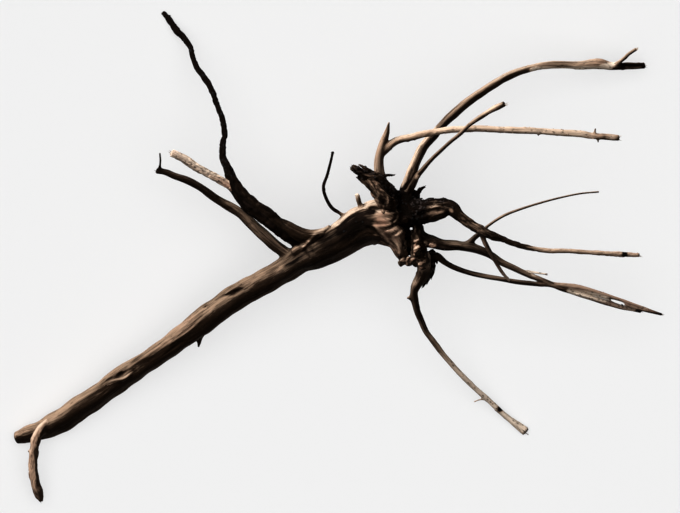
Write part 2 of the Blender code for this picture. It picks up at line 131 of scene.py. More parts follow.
BARK_RIDGES = [
    [(58, 58.5, 84, 5.4), (46, 72.5, 97, 4.6), (34, 82, 105, 3.4), (27, 87, 108, 1.9), (21.5, 90.5, 109, 0.9)],
    [(58, 52, 86, 6.5), (42, 68, 100, 6.0), (28, 80, 108, 4.8), (20, 85, 111, 4.0), (14.5, 88, 112, 2.8)],
    [(54, 45, 86, 6.5), (41, 62, 98, 5.8), (29.5, 73.5, 104, 4.6), (20.5, 79, 106, 2.6)],
    [(50, 41, 82, 6.5), (43, 54, 92, 5.2), (35.5, 65, 98, 4.0), (29, 72, 100, 1.8)],
    [(56, 50, 92, 5.0), (46, 59, 102, 4.4), (37, 69, 107, 3.2), (30, 77, 110, 1.6)],
    [(61, 57, 80, 5.0), (52.3, 68, 90, 3.6), (46, 76.5, 95, 2.3)],
]
BARK_SPIKES = [
    [(44, 79, 95, 2.0), (50, 80.5, 97, 1.3), (56, 80.5, 98, 0.7)],
    [(78, 60, 82, 2.6), (82, 66, 84, 1.8), (86, 69, 85, 1.0)],
    [(90, 0, 68, 4.6), (94.5, -7, 67, 3.2), (96, -13, 66, 1.3)],
    [(88, -8, 68, 4.6), (93.5, -16, 66, 2.8), (93, -22, 64, 1.0)],
    [(86, -14, 66, 4.2), (90, -22, 63, 2.4), (88.5, -27, 61, 0.9)],
    [(83, -20, 63, 3.6), (86.5, -26, 60, 2.2), (85, -31, 58, 0.8)],
    [(92, 4, 68, 4.4), (97, -2, 68, 2.6), (99, -7, 68, 0.9)],
]
NODULES = [
    (79, 6, 87, 4.2), (95, 11, 84, 3.8), (86, -6, 79, 5.0), (72, -7, 70, 5.0),
    (65, -6, 68, 5.0), (80, 14, 87, 3.4),
]
SMALL_NODULES = [
    (81, 15, 86.7, 2.8), (77.3, 9.5, 85.7, 3.1), (81, 7, 88.2, 2.9), (78.3, 2, 84.7, 3.1),
    (76, -3.5, 78.7, 3),
    (83, -7.5, 79.7, 3.3), (87.2, -4.5, 78.7, 3.1), (85, -11.5, 75.7, 3.1), (65, -4.6, 74.7, 3.3),
    (69.3, -6.7, 75.7, 3.2),
    (73.8, -5, 76.7, 3.1), (78.3, -7, 76.7, 3.1), (62.8, -0.5, 74.7, 2.9), (71, -3, 77.7, 2.7),
    (86.3, 15, 81.7, 2.5), (88.2, 10.5, 80.7, 2.7), (82.6, -3, 81.7, 2.3),
    (62.6, -1, 69.7, 2.7), (76.4, 14, 84.7, 2.3),
]
print("crown", len(BARK_RIDGES), "ridges and", len(NODULES), "nodules")

# %% The seven roots and their twigs
LOW_ROOT = [
    (66, 56, 74, 8.5), (70, 72, 72, 6.0), (74, 84, 70, 5.2), (84.5, 107, 66, 4.7),
    (97.5, 123, 62, 4.5), (112.5, 139, 58, 4.5), (130, 154, 53, 4.4), (148, 166.5, 48, 4.2),
    (172, 181, 42, 4.0), (202, 190.3, 35, 3.6), (222, 192, 31, 3.7), (242, 191.5, 27, 4.0),
    (263, 193, 23, 5.6), (275, 191, 20.5, 4.2), (294, 191, 16, 3.5), (307.5, 191.5, 13, 3.2),
]
LOW_ROOT_TWIG = [(274, 190, 20, 2.8), (287, 198, 24, 2.0), (292, 203, 27, 1.8), (299, 207.5, 30, 1.7)]
HORN = [
    (58, 48, 72, 8.0), (48, 62, 76, 7.5), (41, 84, 88, 5.2), (41, 96, 95, 4.7), (43, 106, 100, 4.6),
    (46, 115, 104, 4.0), (48.5, 123, 109, 2.6), (50.5, 132.5, 114, 0.9),
]
HORN_ROOT = [
    (44, 102, 98, 3.6), (50, 109, 102, 4.2), (57, 114, 104, 3.9), (72, 118, 107, 3.5),
    (97, 123.3, 110, 3.2), (127, 126.5, 112, 3.3), (162, 125.5, 111, 3.2), (202, 123.8, 108, 3.2),
    (242, 121, 103, 3.3), (262, 118.5, 100, 3.2), (279, 117.5, 97, 2.8),
]
HORN_ROOT_SPIKES = [
    [(255, 121, 102, 1.8), (256, 126.5, 104, 0.7)],
    [(258, 118, 100, 1.8), (259, 113.5, 99, 0.7)],
    [(200, 122.5, 108, 1.6), (199, 120, 108, 0.9)],
]
HIGH_ROOT = [
    (70, 62, 84, 4.6), (75, 72, 92, 3.2), (79, 80, 98, 2.8), (85, 87, 103, 2.4),
    (93, 96, 109, 2.0), (102.5, 105, 115, 1.9), (112.5, 114, 119, 1.9), (122, 122, 123, 2.0),
    (131, 130.5, 127, 2.1), (141, 137.5, 130, 2.4), (150.5, 143.5, 133, 2.6),
    (158, 147.5, 135, 3.0), (164.5, 150.5, 136, 2.7),
]
ARM_ROOT = [
    (64, 41, 80, 12.0), (82, 43, 88, 11.8), (92, 44.5, 94, 11.0), (102, 46.5, 99, 9.6),
    (111, 47.5, 103, 8.0), (120, 41, 105, 5.8), (131, 32, 106, 5.0), (142, 25.5, 106, 4.9),
    (152, 20.5, 105, 4.4), (162, 17, 103, 3.2), (182, 10, 100, 2.8), (202, 6, 96, 2.4),
    (232, 4.7, 91, 2.4), (262, 2.7, 86, 2.4), (287, 1.5, 81, 2.6), (300, 1, 79, 2.0),
]
ARM_RIDGES = [
    [(74, 51.5, 88, 5), (88, 52.5, 97, 4), (100, 53.5, 103, 3.4), (110, 54, 105, 2.4), (118, 48, 102, 1.2)],
    [(74, 44, 95, 5), (90, 48, 102, 4.2), (104, 50, 107, 3.2), (113, 48, 108, 2.2), (122, 41, 105, 1.5)],
]
ARM_TWIG = [
    (141, 26, 105, 3.6), (146, 14, 102, 2.6), (152, 3, 96, 2.1), (159, -9, 88, 1.8),
    (165, -18, 81, 1.6), (171, -24.5, 76.5, 1.2),
]
MIDDLE_ROOT = [
    (68, 28, 72, 9.0), (80, 20, 76, 7.2), (91, 14.5, 79, 6.8), (102, 11.5, 82, 5.8),
    (122, 10, 84, 5.0), (137, 7.5, 83, 4.5), (152, 1, 80, 3.8), (162, -5.5, 78, 3.5),
    (182, -15, 73, 3.0), (202, -23.5, 69, 2.8), (222, -31.5, 65, 2.9), (242, -38, 61, 2.9),
    (262, -44.5, 57, 2.7), (282, -50.3, 52, 2.5), (303, -55.5, 46, 1.6),
]
LOWER_ROOT = [
    (78, 4, 66, 7.0), (90, 0, 68, 4.8), (99, -0.5, 70, 4.0), (107, -6.5, 71, 2.9),
    (122, -13.8, 72, 2.6), (142, -19.5, 71, 2.5), (162, -23, 70, 2.4), (182, -26.3, 69, 2.3),
    (202, -28, 68, 2.5), (222, -29.5, 66, 3.2), (242, -32.5, 63, 3.4), (262, -38.5, 60, 3.3),
    (282, -45, 56, 3.0), (302, -52, 52, 2.6), (324, -58.5, 47, 1.2),
]
LONG_TWIG = [
    (129, 12, 83, 3.8), (139, 20.5, 88, 2.6), (147, 28, 90, 1.6), (162, 38.5, 91, 1.5),
    (182, 46.8, 90, 1.3), (202, 53, 87, 1.1), (222, 58.3, 84, 1.0), (242, 62.3, 81, 0.9),
    (260, 64, 78, 0.8),
]
SPLINTER = [(188, -15, 72, 1.6), (196, -16.5, 72, 1.2), (207, -18, 72, 0.7)]
LEG_ROOT = [
    (84, 0, 74, 8.0), (86, -12, 68, 7.6), (84, -20, 64, 6.2), (79, -28, 61, 5.0),
    (76, -36, 58, 4.2), (76.5, -44, 55, 4.0), (79, -54, 51, 3.3), (83, -64, 47, 3.1),
    (88, -75, 43, 3.0), (95, -85, 39, 2.9), (110, -104, 30, 2.7), (130.5, -126, 20, 2.6),
    (153.5, -147, 10.5, 2.7), (174, -165.5, 5, 3.0), (183, -172, 3, 3.8), (188.5, -176.5, 2.6, 4.2),
]
LEG_NUB = [(73, -42, 56, 2.6), (69.5, -42, 56, 1.2)]
LEG_HAIR = [(151, -145, 11, 1.2), (144, -144, 13, 0.7), (137, -146.5, 14, 0.6)]
print("points along the lowest root", len(LOW_ROOT), "and along the leg root", len(LEG_ROOT))

# %% [markdown]
# ## Colour stops
#
# On the real wood the colour changes along each limb: the trunk is dark brown, the thick
# branch is nearly black, and the thin roots are bleached to cream. So each limb carries a
# short list of stops: (share of its length, pale, warm, bark). Pale runs from brown to
# cream, warm adds the pinkish cast of newly bared wood, and bark turns it black.

# %% Colour stops for each limb
TONES = {
    # The trunk's stops turn partly black from about two thirds along: painted shadow where the branches shade
    # it
    "trunk": [(0, .03, .3, .05), (.06, .03, .1, 0), (.3, .02, .08, 0), (.41, .05, .3, 0),
        (.5, .02, .1, 0), (.62, 0, .1, .05), (.68, 0, .1, .3), (.9, 0, .15, .3), (1, .02, .5, .1)],
    "long_branch": [(0, .05, .3, .5), (.12, .05, .2, .55), (.3, .03, .1, .7), (.45, 0, 0, .9),
        (1, 0, 0, 1)],
    "pale_stub": [(0, .2, .9, .2), (.15, .5, .95, .05), (.5, .92, .65, .05), (1, .92, .6, .04)],
    "short_branch": [(0, .04, .3, .3), (.3, .12, .3, .3), (.48, .16, .3, .25), (.6, .08, .3, .5),
        (.9, .08, .3, .5), (1, 0, .1, .8)],
    "hooked_stub": [(0, .04, .3, .2), (.3, .29, .6, .17), (.6, .31, .6, .18), (1, .31, .6, .22)],
    "low_root": [(0, 0, .1, .8), (.1, .08, .2, .4), (.18, .03, .2, .38), (.32, .05, .2, .24),
        (.46, .09, .3, .12), (.56, .18, .1, .05), (.66, .32, 0, 0), (.76, .34, .1, .05),
        (.84, .26, .4, .15), (.88, .2, .5, .22), (.93, .08, .4, .6), (1, .2, .4, .45)],
    "horn": [(0, 0, .1, .8), (.25, .1, .2, .6), (.42, .42, .3, .05), (.6, .40, .3, 0),
        (.8, .28, .4, 0), (1, .2, .3, .1)],
    "horn_root": [(0, .25, .3, .1), (.1, .26, .2, 0), (.3, .45, .1, 0), (.85, .55, .1, 0),
        (.91, .4, .4, 0), (.94, .2, .4, .4), (.97, .6, .3, 0), (1, .2, .3, .4)],
    "high_root": [(0, .05, .2, .4), (.2, .05, .3, .36), (.5, .05, .3, .32), (.8, .12, .3, .16),
        (.93, .3, .3, .05), (1, .10, .4, .3)],
    "arm_root": [(0, 0, .1, 1), (.16, 0, .1, .9), (.24, .05, .4, .6), (.28, .1, .4, .3),
        (.33, .12, .35, .15), (.44, .03, .2, .5), (.53, .03, .3, .42), (.58, .26, .2, .1),
        (.63, .34, .1, 0), (.85, .38, .1, 0), (.93, .42, .3, 0), (1, .6, .9, 0)],
    "middle_root": [(0, 0, .1, .9), (.14, 0, .2, .6), (.24, .13, .3, .27), (.36, .13, .4, .25),
        (.42, .26, .4, .05), (.56, .28, .5, 0), (.62, .2, .6, .12), (.7, .16, .8, .2),
        (.76, .4, .9, 0), (.94, .4, .9, .05), (1, .1, .6, .5)],
    "lower_root": [(0, 0, .1, .9), (.14, 0, .2, .6), (.3, .13, .4, .32), (.46, .13, .5, .28),
        (.52, .24, .7, .12), (.57, .34, .9, .05), (.65, .4, .8, 0), (.7, .9, .1, 0),
        (.78, 1, .1, 0), (.82, .4, .9, 0), (.93, .35, 1, .1), (1, .1, .5, .6)],
    "leg_root": [(0, .5, .5, .1), (.04, .6, .6, 0), (.07, .10, .4, .3), (.15, .10, .5, .25),
        (.22, .06, .3, .3), (.35, .15, .3, .1), (.5, .5, .35, 0), (.62, .8, .3, 0), (.8, 1, .3, 0),
        (1, 1, .15, 0)],
    "crown_knot": [(0, 0, .1, .95), (1, 0, .1, 1)],
    "crown_heel": [(0, 0, .3, .4), (1, .05, .4, .4)],
    "lower_fold": [(0, .2, .5, 0), (1, .35, .8, 0)],
    "middle_fold": [(0, .25, .5, 0), (1, .35, .8, 0)],
    "upper_fold": [(0, .2, .2, .1), (.5, .1, .3, .3), (1, 0, .2, .8)],
    "right_fold": [(0, 0, .2, .8), (.5, .05, .4, .4), (1, .15, .6, .2)],
    "branch_fold": [(0, 0, .3, .3), (1, .05, .3, .2)],
    "branch_web": [(0, 0, .2, .5), (1, 0, .2, .3)],
    "branch_twig": [(0, 0, .1, .7), (1, 0, .1, .7)],
    "trunk_twig": [(0, 0, .2, .6), (1, 0, .1, .9)],
    "pale_nub": [(0, .4, .3, 0), (1, .8, .3, 0)],
    "low_root_twig": [(0, .4, .3, 0), (.5, .12, .3, .3), (1, .2, .3, .4)],
    "arm_twig": [(0, .22, .6, .2), (.6, .26, .7, .15), (1, .6, .5, 0)],
    "long_twig": [(0, .10, .4, .3), (1, .14, .4, .25)],
    "splinter": [(0, .8, .3, 0), (1, .9, .3, 0)],
    "leg_nub": [(0, .1, .2, .2), (1, .1, .2, .2)],
    "leg_hair": [(0, .5, .3, 0), (1, .5, .3, 0)],
    "thorn": [(0, .05, .2, .2), (1, .05, .2, .2)],
    "stub_nub": [(0, .1, .3, 0), (1, .1, .3, 0)],
    "bark_ridge": [(0, 0, .3, .9), (.45, .12, .6, .38), (1, .12, .4, .45)],
    "inner_ridge": [(0, .10, .8, .3), (.4, .34, .7, .05), (.8, .30, .6, .1), (1, .08, .4, .6)],
    "bark_spike": [(0, 0, .1, .8), (1, 0, .2, .7)],
    "arm_ridge": [(0, 0, .1, .9), (1, 0, .15, .8)],
    "horn_root_spike": [(0, .4, .2, 0), (1, .2, .3, 0)],
    "knot_lip": [(0, .1, .2, 0), (1, .1, .2, 0)],
    "nodule": [(0, .10, 1, .12), (1, .10, 1, .12)],
}
print("colour stops for", len(TONES), "kinds of limb")

# %% [markdown]
# ## Sweeping a limb
#
# A limb could be a curve with a bevel, but weathered wood is never round: shallow flutes
# run along it, lumps swell where side shoots were, and fibres stand up between long
# checks. So each limb is swept ring by ring with numpy, and every point of a ring gets its
# own radius from a few noise fields. Noise that is stretched along the limb reads as fibre.

# %% Smooth centre lines and their frames
def smooth_path(points, step):
    """Points about a step apart on the smooth curve through given points."""
    knots = np.array(points, float)
    gaps = np.linalg.norm(np.diff(knots[:, :3], axis=0), axis=1)
    at = np.concatenate([[0.0], np.cumsum(gaps)])
    slopes = np.gradient(knots, at, axis=0)
    count = max(2, round(at[-1] / step)) + 1
    s = np.linspace(0.0, at[-1], count)
    i = np.minimum(np.searchsorted(at, s, side="right") - 1, len(gaps) - 1)
    h = gaps[i][:, None]
    t = ((s - at[i]) / gaps[i])[:, None]
    return (
        (2 * t**3 - 3 * t**2 + 1) * knots[i] + (t**3 - 2 * t**2 + t) * h * slopes[i]
        + (3 * t**2 - 2 * t**3) * knots[i + 1] + (t**3 - t**2) * h * slopes[i + 1]
    )


def frames_along(path):
    """The reach of each ring, and its directions along, sideways and up."""
    centres = path[:, :3]
    steps = np.linalg.norm(np.diff(centres, axis=0), axis=1)
    reach = np.concatenate([[0.0], np.cumsum(steps)])
    along = np.gradient(centres, axis=0)
    along /= np.linalg.norm(along, axis=1)[:, None]
    side = np.cross(along, (0.0, 0.0, 1.0))
    side /= np.linalg.norm(side, axis=1)[:, None]
    return reach, along, side, np.cross(side, along)


def field(*axes):
    """Smooth noise from about -1 to 1 at each point, given as arrays of the three axes."""
    x, y, z = np.broadcast_arrays(*axes)
    spots = np.stack([x.ravel(), y.ravel(), z.ravel()], 1).tolist()
    return np.array([noise.noise(spot) for spot in spots]).reshape(x.shape)


print("rings of the trunk at 1.5 mm", len(smooth_path(TRUNK, 1.5)))

# %% The wear of the CAD source, which gives each limb its broad shape
LUMP_LENGTH = 16.0
LUMP_SPREAD = 0.8
# Three broad flutes and five narrow ones turn slowly round a limb, in opposite senses
BROAD_PITCH, NARROW_PITCH, NARROW_SHARE = 60.0, 45.0, 0.7


def weathered(reach, angle, seed, flutes, lumps):
    """The share of its radius that a limb has, at its reach along it and an angle round it."""
    broad = np.cos(3 * angle + reach / BROAD_PITCH + seed)
    narrow = NARROW_SHARE * np.cos(5 * angle - reach / NARROW_PITCH + 2 * seed)
    lump = field(reach / LUMP_LENGTH, LUMP_SPREAD * np.cos(angle) + seed, LUMP_SPREAD * np.sin(angle))
    return 1 + flutes * (broad + narrow) + lumps * lump


AROUND = np.linspace(0, 2 * math.pi, 9)
print("shares round the trunk's first ring", weathered(0 * AROUND, AROUND, 0.0, 0.035, 0.12).round(3))

# %% The finer relief, in millimetres
CHECK_WIDTH, VALLEY_WIDTH, BUD_LIMIT = 0.07, 0.16, 0.38


def stretched(spot, long, wide, shift=(0, 0, 0)):
    """Noise with cells so many millimetres long and wide. A shift on an axis gives other noise."""
    reach, across, up = spot
    return field(reach / long + shift[0], across / wide + shift[1], up / wide + shift[2])


def wood_relief(spot, seed, depth):
    """Standing fibres, and long checks where the wood has split along its grain."""
    fibre = stretched(spot, 38, 1.3, (0, seed, 0))
    band = stretched(spot, 60, 4.5, (seed, 0, 0))
    split = stretched(spot, 75, 3.4, (0, 0, 3 * seed))
    check = np.clip(1 - np.abs(split) / CHECK_WIDTH, 0, 1)
    return depth * (0.30 * fibre + 0.45 * band - 0.55 * check)


def bark_relief(spot, seed, depth):
    """Broken ridges of old bark, with sharp valleys between them."""
    plate = stretched(spot, 9, 3.2, (0, seed, 0))
    crumb = stretched(spot, 3.2, 1.7, (seed, 0, 0))
    valley = np.clip(1 - np.abs(plate) / VALLEY_WIDTH, 0, 1)
    return depth * (1.1 * plate + 0.55 * crumb - 1.1 * valley)


def root_relief(spot, seed, depth):
    """Small rings and buds at uneven steps along a root, over a fine fibre."""
    fibre = stretched(spot, 25, 0.9, (0, seed, 0))
    ring = stretched(spot, 5.5, 6, (seed, 0, 0))
    bud = np.clip(stretched(spot, 4.5, 2.6, (0, seed, 0)) - BUD_LIMIT, 0, 1)
    return depth * (0.2 * fibre + 0.28 * ring + 1.8 * bud)


RELIEFS = {"wood": wood_relief, "bark": bark_relief, "root": root_relief}
print("kinds of relief", list(RELIEFS))

# %% Read and move the points of a mesh
def read(items, key, width=1, kind=float):
    """One value, or a row of them, for each point, edge, face or corner of a mesh."""
    values = np.empty(len(items) * width, kind)
    items.foreach_get(key, values)
    return values.reshape(-1, width) if width > 1 else values


def corner_points(mesh):
    """The number of the point at each face corner."""
    return read(mesh.loops, "vertex_index", kind=np.int32)


def move_points(mesh, spots):
    """Puts the points of a mesh at their new places, in metres."""
    mesh.vertices.foreach_set("co", spots.ravel())
    mesh.update()


def facing_up(mesh, gain):
    """Nought on skin that stands or hangs, and 1 on skin that lies open. More gain reaches further."""
    return np.clip(read(mesh.vertices, "normal", 3)[:, 2] * gain, 0, 1)


def make_mesh(name, verts, faces, **kept):
    """A mesh object in metres, with vectors such as the grain kept in its face corners."""
    mesh = bpy.data.meshes.new(name)
    mesh.from_pydata((verts * MM).tolist(), [], faces)
    corners = corner_points(mesh)
    for key, values in kept.items():
        layer = mesh.attributes.new(key, "FLOAT_VECTOR", "CORNER")
        layer.data.foreach_set("vector", values[corners].astype(np.float32).ravel())
    return bpy.data.objects.new(name, mesh)


# %% One closed limb with its grain and tone
# Rounded caps: the share of the radius, and how far out in radii. The rings close in.
CAP_RINGS = [(0.93, 0.10), (0.75, 0.24), (0.45, 0.34)]
CAP_TIP = 0.37
# Limbs thinner than this radius get a shallower relief, and bark fades sooner than wood
FULL_RELIEF_RADIUS = 3.0
FADES = {"wood": 1, "root": 1, "bark": 4}
LEAST_SHARE = 0.25
JAG_SIZE = 2.2
# Sets the grain of one limb apart from that of the next
GRAIN_STEP = 900.0


def grown(name, points, sides, step, seed, flutes, lumps, relief, depth, tone, ragged=0.5):
    """A swept limb as a closed mesh. Its face corners keep the grain and the tone."""
    path = smooth_path(points, step)
    reach, along, side, up = frames_along(path)
    centres, radius = path[:, :3], path[:, 3]
    turn = np.linspace(0, 2 * math.pi, sides, endpoint=False)
    sine, cosine = np.sin(turn), np.cos(turn)
    angle = np.broadcast_to(turn, (len(path), sides))
    far = reach[:, None] + 0 * angle
    r = radius[:, None] * weathered(far, angle, seed, flutes, lumps)
    fine = RELIEFS[relief]((far, r * np.sin(angle), r * np.cos(angle)), seed, depth)
    fade = np.minimum(1, radius[:, None] / FULL_RELIEF_RADIUS) ** FADES[relief]
    r = np.maximum(r + fine * fade, LEAST_SHARE * radius[:, None])
    rings, grains, tones = [], [], []
    stops = np.array(tone, float)

    def ring(i, shrink, shift, broken):
        """One ring at point i, shrunk, moved outwards, and jagged where the end is broken."""
        rad = r[i] * shrink
        depth_cell = np.full(sides, shrink * 3)
        jag = field(JAG_SIZE * sine + seed, JAG_SIZE * cosine, depth_cell) if broken else 0
        out = (shift + broken * jag * shrink) * radius[i] + np.zeros(sides)
        rings.append(centres[i] + rad[:, None] * (sine[:, None] * side[i] + cosine[:, None] * up[i])
                     + out[:, None] * along[i])
        grains.append(np.stack([reach[i] + out, rad * sine, rad * cosine], 1))
        tones.append([np.interp(reach[i] / reach[-1], stops[:, 0], stops[:, k]) for k in (1, 2, 3)])

    for shrink, shift in reversed(CAP_RINGS):
        ring(0, shrink, -shift, 0)
    for i in range(len(path)):
        ring(i, 1.0, 0.0, ragged if i == len(path) - 1 else 0)
    for shrink, shift in CAP_RINGS:
        ring(-1, shrink, shift, ragged)

    verts = np.concatenate(rings + [centres[:1] - CAP_TIP * radius[0] * along[:1],
                                    centres[-1:] + CAP_TIP * radius[-1] * along[-1:]])
    grain = np.concatenate(grains + [[[0.0, 0.0, 0.0]], [[reach[-1], 0.0, 0.0]]])
    grain[:, 0] += GRAIN_STEP * (seed + len(name))
    tone_of = np.concatenate([np.repeat(np.array(tones), sides, 0), [tones[0]], [tones[-1]]])
    here = np.arange((len(rings) - 1) * sides).reshape(-1, sides)
    beside = np.roll(here, -1, axis=1)
    quads = np.stack([here, beside, beside + sides, here + sides], -1).reshape(-1, 4)
    tip = len(rings) * sides
    fans = [(tip, b, a) for a, b in zip(here[0], beside[0])]
    fans += [(tip + 1, a, b) for a, b in zip(here[-1] + sides, beside[-1] + sides)]
    return make_mesh(name, verts, quads.tolist() + fans, grain=grain, tone=tone_of)


print("each end is closed with", len(CAP_RINGS), "rings and a tip")

# %% [markdown]
# ## The trunk
#
# The trunk has the hollows of lost side shoots on it: an eye with a raised lip, and a few
# narrow slots. They could be cut with Booleans, but the sea has rounded them, so they are
# pressed into the swept surface instead, each with a soft rim.

# %% Press the worn hollows into the trunk
# x, y, half length, half width, depth, turn in degrees, height of the lip
HOLLOWS = [
    (-218.5, -119, 4.2, 2.4, 3.4, 38, 0.2), (-107.5, -31.5, 2.6, 1.0, 1.6, 34, 0.2),
    (-101.5, -35.5, 3.2, 1.1, 2.2, 34, 0.3), (-133, -51, 3.0, 1.0, 2.0, 40, 0.4),
    (-60, -6, 9, 2.2, 1.2, 30, 0.3), (-40, 6, 7, 2.0, 2.0, 24, 0.6),
    (-165, -92, 14, 1.6, 0.8, 36, 0.1),
]


# A bowl inside, and a soft rim just outside it, in shares of the hollow's size
BOWL_POWER, RIM_AT, RIM_WIDTH = 0.7, 1.25, 0.3
HOLLOW_GAIN = 2.5
TRUNK_SIDES = 88
TRUNK_STEP = 1.7


def press_hollows(mesh, hollows):
    """Presses hollows into the upper side of a swept mesh, in millimetres."""
    spots = read(mesh.vertices, "co", 3) / MM
    faces_up = facing_up(mesh, HOLLOW_GAIN)
    for x, y, half_length, half_width, depth, turn, lip in hollows:
        c, s = math.cos(math.radians(turn)), math.sin(math.radians(turn))
        dx, dy = spots[:, 0] - x, spots[:, 1] - y
        u, v = (dx * c + dy * s) / half_length, (-dx * s + dy * c) / half_width
        d = np.sqrt(u * u + v * v)
        bowl = np.clip(1 - d, 0, 1) ** BOWL_POWER
        rim = np.exp(-(((d - RIM_AT) / RIM_WIDTH) ** 2))
        spots[:, 2] += faces_up * (lip * rim - depth * bowl)
    move_points(mesh, spots * MM)


trunk = grown("driftwood_wood", TRUNK, TRUNK_SIDES, TRUNK_STEP, seed=0.0, flutes=0.035, lumps=0.12,
              relief="wood", depth=0.75, tone=TONES["trunk"], ragged=0.3)
bpy.context.scene.collection.objects.link(trunk)
press_hollows(trunk.data, HOLLOWS)
print("trunk", len(trunk.data.vertices), "points")

# %% [markdown]
# ## The limbs
#
# Branches, folds and roots are grown in the same way, each with its own relief: fibre on
# bare wood, broken ridges on what is left of the bark, and rings with small buds on the
# roots. Each starts well inside what it grows from.

# %% Grow the branches, the crown and the roots
# name: points, sides, step, relief, depth
LONG_LIMBS = {
    "long_branch": (LONG_BRANCH, 48, 1.5, "bark", 0.8),
    "pale_stub": (PALE_STUB, 32, 1.2, "bark", 0.75),
    "short_branch": (SHORT_BRANCH, 34, 1.6, "wood", 1.0),
    "hooked_stub": (HOOKED_STUB, 34, 1.5, "bark", 0.7),
    "low_root": (LOW_ROOT, 26, 1.6, "root", 0.7), "horn": (HORN, 30, 1.6, "wood", 0.7),
    "horn_root": (HORN_ROOT, 22, 1.4, "root", 1.1), "high_root": (HIGH_ROOT, 16, 1.9, "root", 0.4),
    "arm_root": (ARM_ROOT, 48, 1.5, "bark", 0.8),
    "middle_root": (MIDDLE_ROOT, 26, 1.7, "wood", 0.6),
    "lower_root": (LOWER_ROOT, 20, 1.8, "wood", 0.6), "leg_root": (LEG_ROOT, 24, 1.7, "root", 0.6),
    "crown_knot": (CROWN_KNOT, 64, 1.2, "bark", 1.6),
    "crown_heel": (CROWN_HEEL, 56, 1.3, "bark", 1.2),
    "lower_fold": (LOWER_FOLD, 72, 0.9, "wood", 1.3),
    "middle_fold": (MIDDLE_FOLD, 72, 0.9, "wood", 1.3),
    "upper_fold": (UPPER_FOLD, 64, 1.1, "wood", 1.3),
    "right_fold": (RIGHT_FOLD, 64, 1.0, "bark", 1.2),
    "branch_fold": (BRANCH_FOLD, 30, 1.3, "wood", 0.8),
    "branch_web": (BRANCH_WEB, 40, 1.5, "wood", 0.8),
}
SHORT_LIMBS = {
    "branch_twig": BRANCH_TWIG, "trunk_twig": TRUNK_TWIG, "pale_nub": PALE_NUB,
    "low_root_twig": LOW_ROOT_TWIG, "arm_twig": ARM_TWIG, "long_twig": LONG_TWIG,
    "splinter": SPLINTER, "leg_nub": LEG_NUB, "leg_hair": LEG_HAIR, "thorn": THORN,
    "stub_nub": STUB_NUB,
}
LIMB_GROUPS = {
    "horn_root_spike": (HORN_ROOT_SPIKES, 12, 1.0, "root", 0.3),
    "knot_lip": (KNOT_LIPS, 18, 1.4, "wood", 0.5),
}
LIMB_FLUTES, LIMB_LUMPS, TWIG_LUMPS, BARK_LUMPS = 0.03, 0.16, 0.10, 0.20
TWIG = {"sides": 14, "step": 1.8, "relief": "root", "depth": 0.45}
NODULE = {"sides": 30, "step": 0.7, "relief": "bark", "depth": 1.3}
# A nodule is a stub of three points: shares of its radius aside, and the radius there
NODULE_LINE = [(-0.7, -0.3, -0.2, 0.6), (0, 0, 0, 0.85), (0.7, 0.4, -0.3, 0.55)]

limbs = []
for seed, (name, (points, sides, step, relief, depth)) in enumerate(LONG_LIMBS.items()):
    limbs.append(grown(name, points, sides, step, seed + 1.0, LIMB_FLUTES, LIMB_LUMPS,
                       relief, depth, TONES[name]))
for seed, (name, points) in enumerate(SHORT_LIMBS.items()):
    limbs.append(grown(name, points, seed=seed + 0.5, flutes=0.0, lumps=TWIG_LUMPS,
                       tone=TONES[name], **TWIG))
for group, (rows, sides, step, relief, depth) in LIMB_GROUPS.items():
    for number, points in enumerate(rows):
        limbs.append(grown(f"{group}_{number}", points, sides, step, number + 0.3, 0.0, BARK_LUMPS,
                           relief, depth, TONES[group]))
for number, (x, y, z, radius) in enumerate(NODULES + SMALL_NODULES):
    stub = [(x + a * radius, y + b * radius, z + c * radius, share * radius)
            for a, b, c, share in NODULE_LINE]
    limbs.append(grown(f"nodule_{number}", stub, seed=number + 0.7, flutes=0.05, lumps=0.6,
                       tone=TONES["nodule"], ragged=0.4, **NODULE))
print(len(limbs), "limbs", sum(len(each.data.polygons) for each in limbs), "faces")

# %% [markdown]
# ## One union
#
# What grew as one should be one skin, with no faces hidden inside it. The Boolean modifier
# takes a whole collection at once, and its manifold solver is quick on closed meshes. It
# also keeps what the face corners carry, so the grain follows each limb up to the joint.

# %% Join everything, and cut the dark slot of the crown
def mesh_arrays(mesh):
    """The points and the edges of a mesh as arrays."""
    return read(mesh.vertices, "co", 3), read(mesh.edges, "vertices", 2, np.int32)


def plain_result(thing):
    """Replaces the mesh of a thing by what its modifiers make of it, and removes them."""
    bpy.context.view_layer.update()
    seen = thing.evaluated_get(bpy.context.evaluated_depsgraph_get())
    result = bpy.data.meshes.new_from_object(seen)
    thing.modifiers.clear()
    thing.data = result


def apply_boolean(body, operation, **operand):
    """Joins or cuts the body in place, and leaves a plain mesh."""
    step = body.modifiers.new(operation.lower(), "BOOLEAN")
    step.solver = "MANIFOLD"
    step.operation = operation
    for key, value in operand.items():
        setattr(step, key, value)
    plain_result(body)


def number_faces(thing, number):
    """Marks every face of a limb with the limb's number."""
    layer = thing.data.attributes.new("limb", "INT", "FACE")
    layer.data.foreach_set("value", np.full(len(thing.data.polygons), number, np.int32))


def join_all(body, others):
    """One union of a body with everything that grows from it."""
    for number, thing in enumerate([body] + others):
        number_faces(thing, number)
    growth = bpy.data.collections.new("growth")
    bpy.context.scene.collection.children.link(growth)
    for each in others:
        growth.objects.link(each)
    apply_boolean(body, "UNION", operand_type="COLLECTION", collection=growth)
    for each in others:
        bpy.data.objects.remove(each)
    bpy.data.collections.remove(growth)


join_all(trunk, limbs)
print("one skin of", len(trunk.data.vertices), "points")

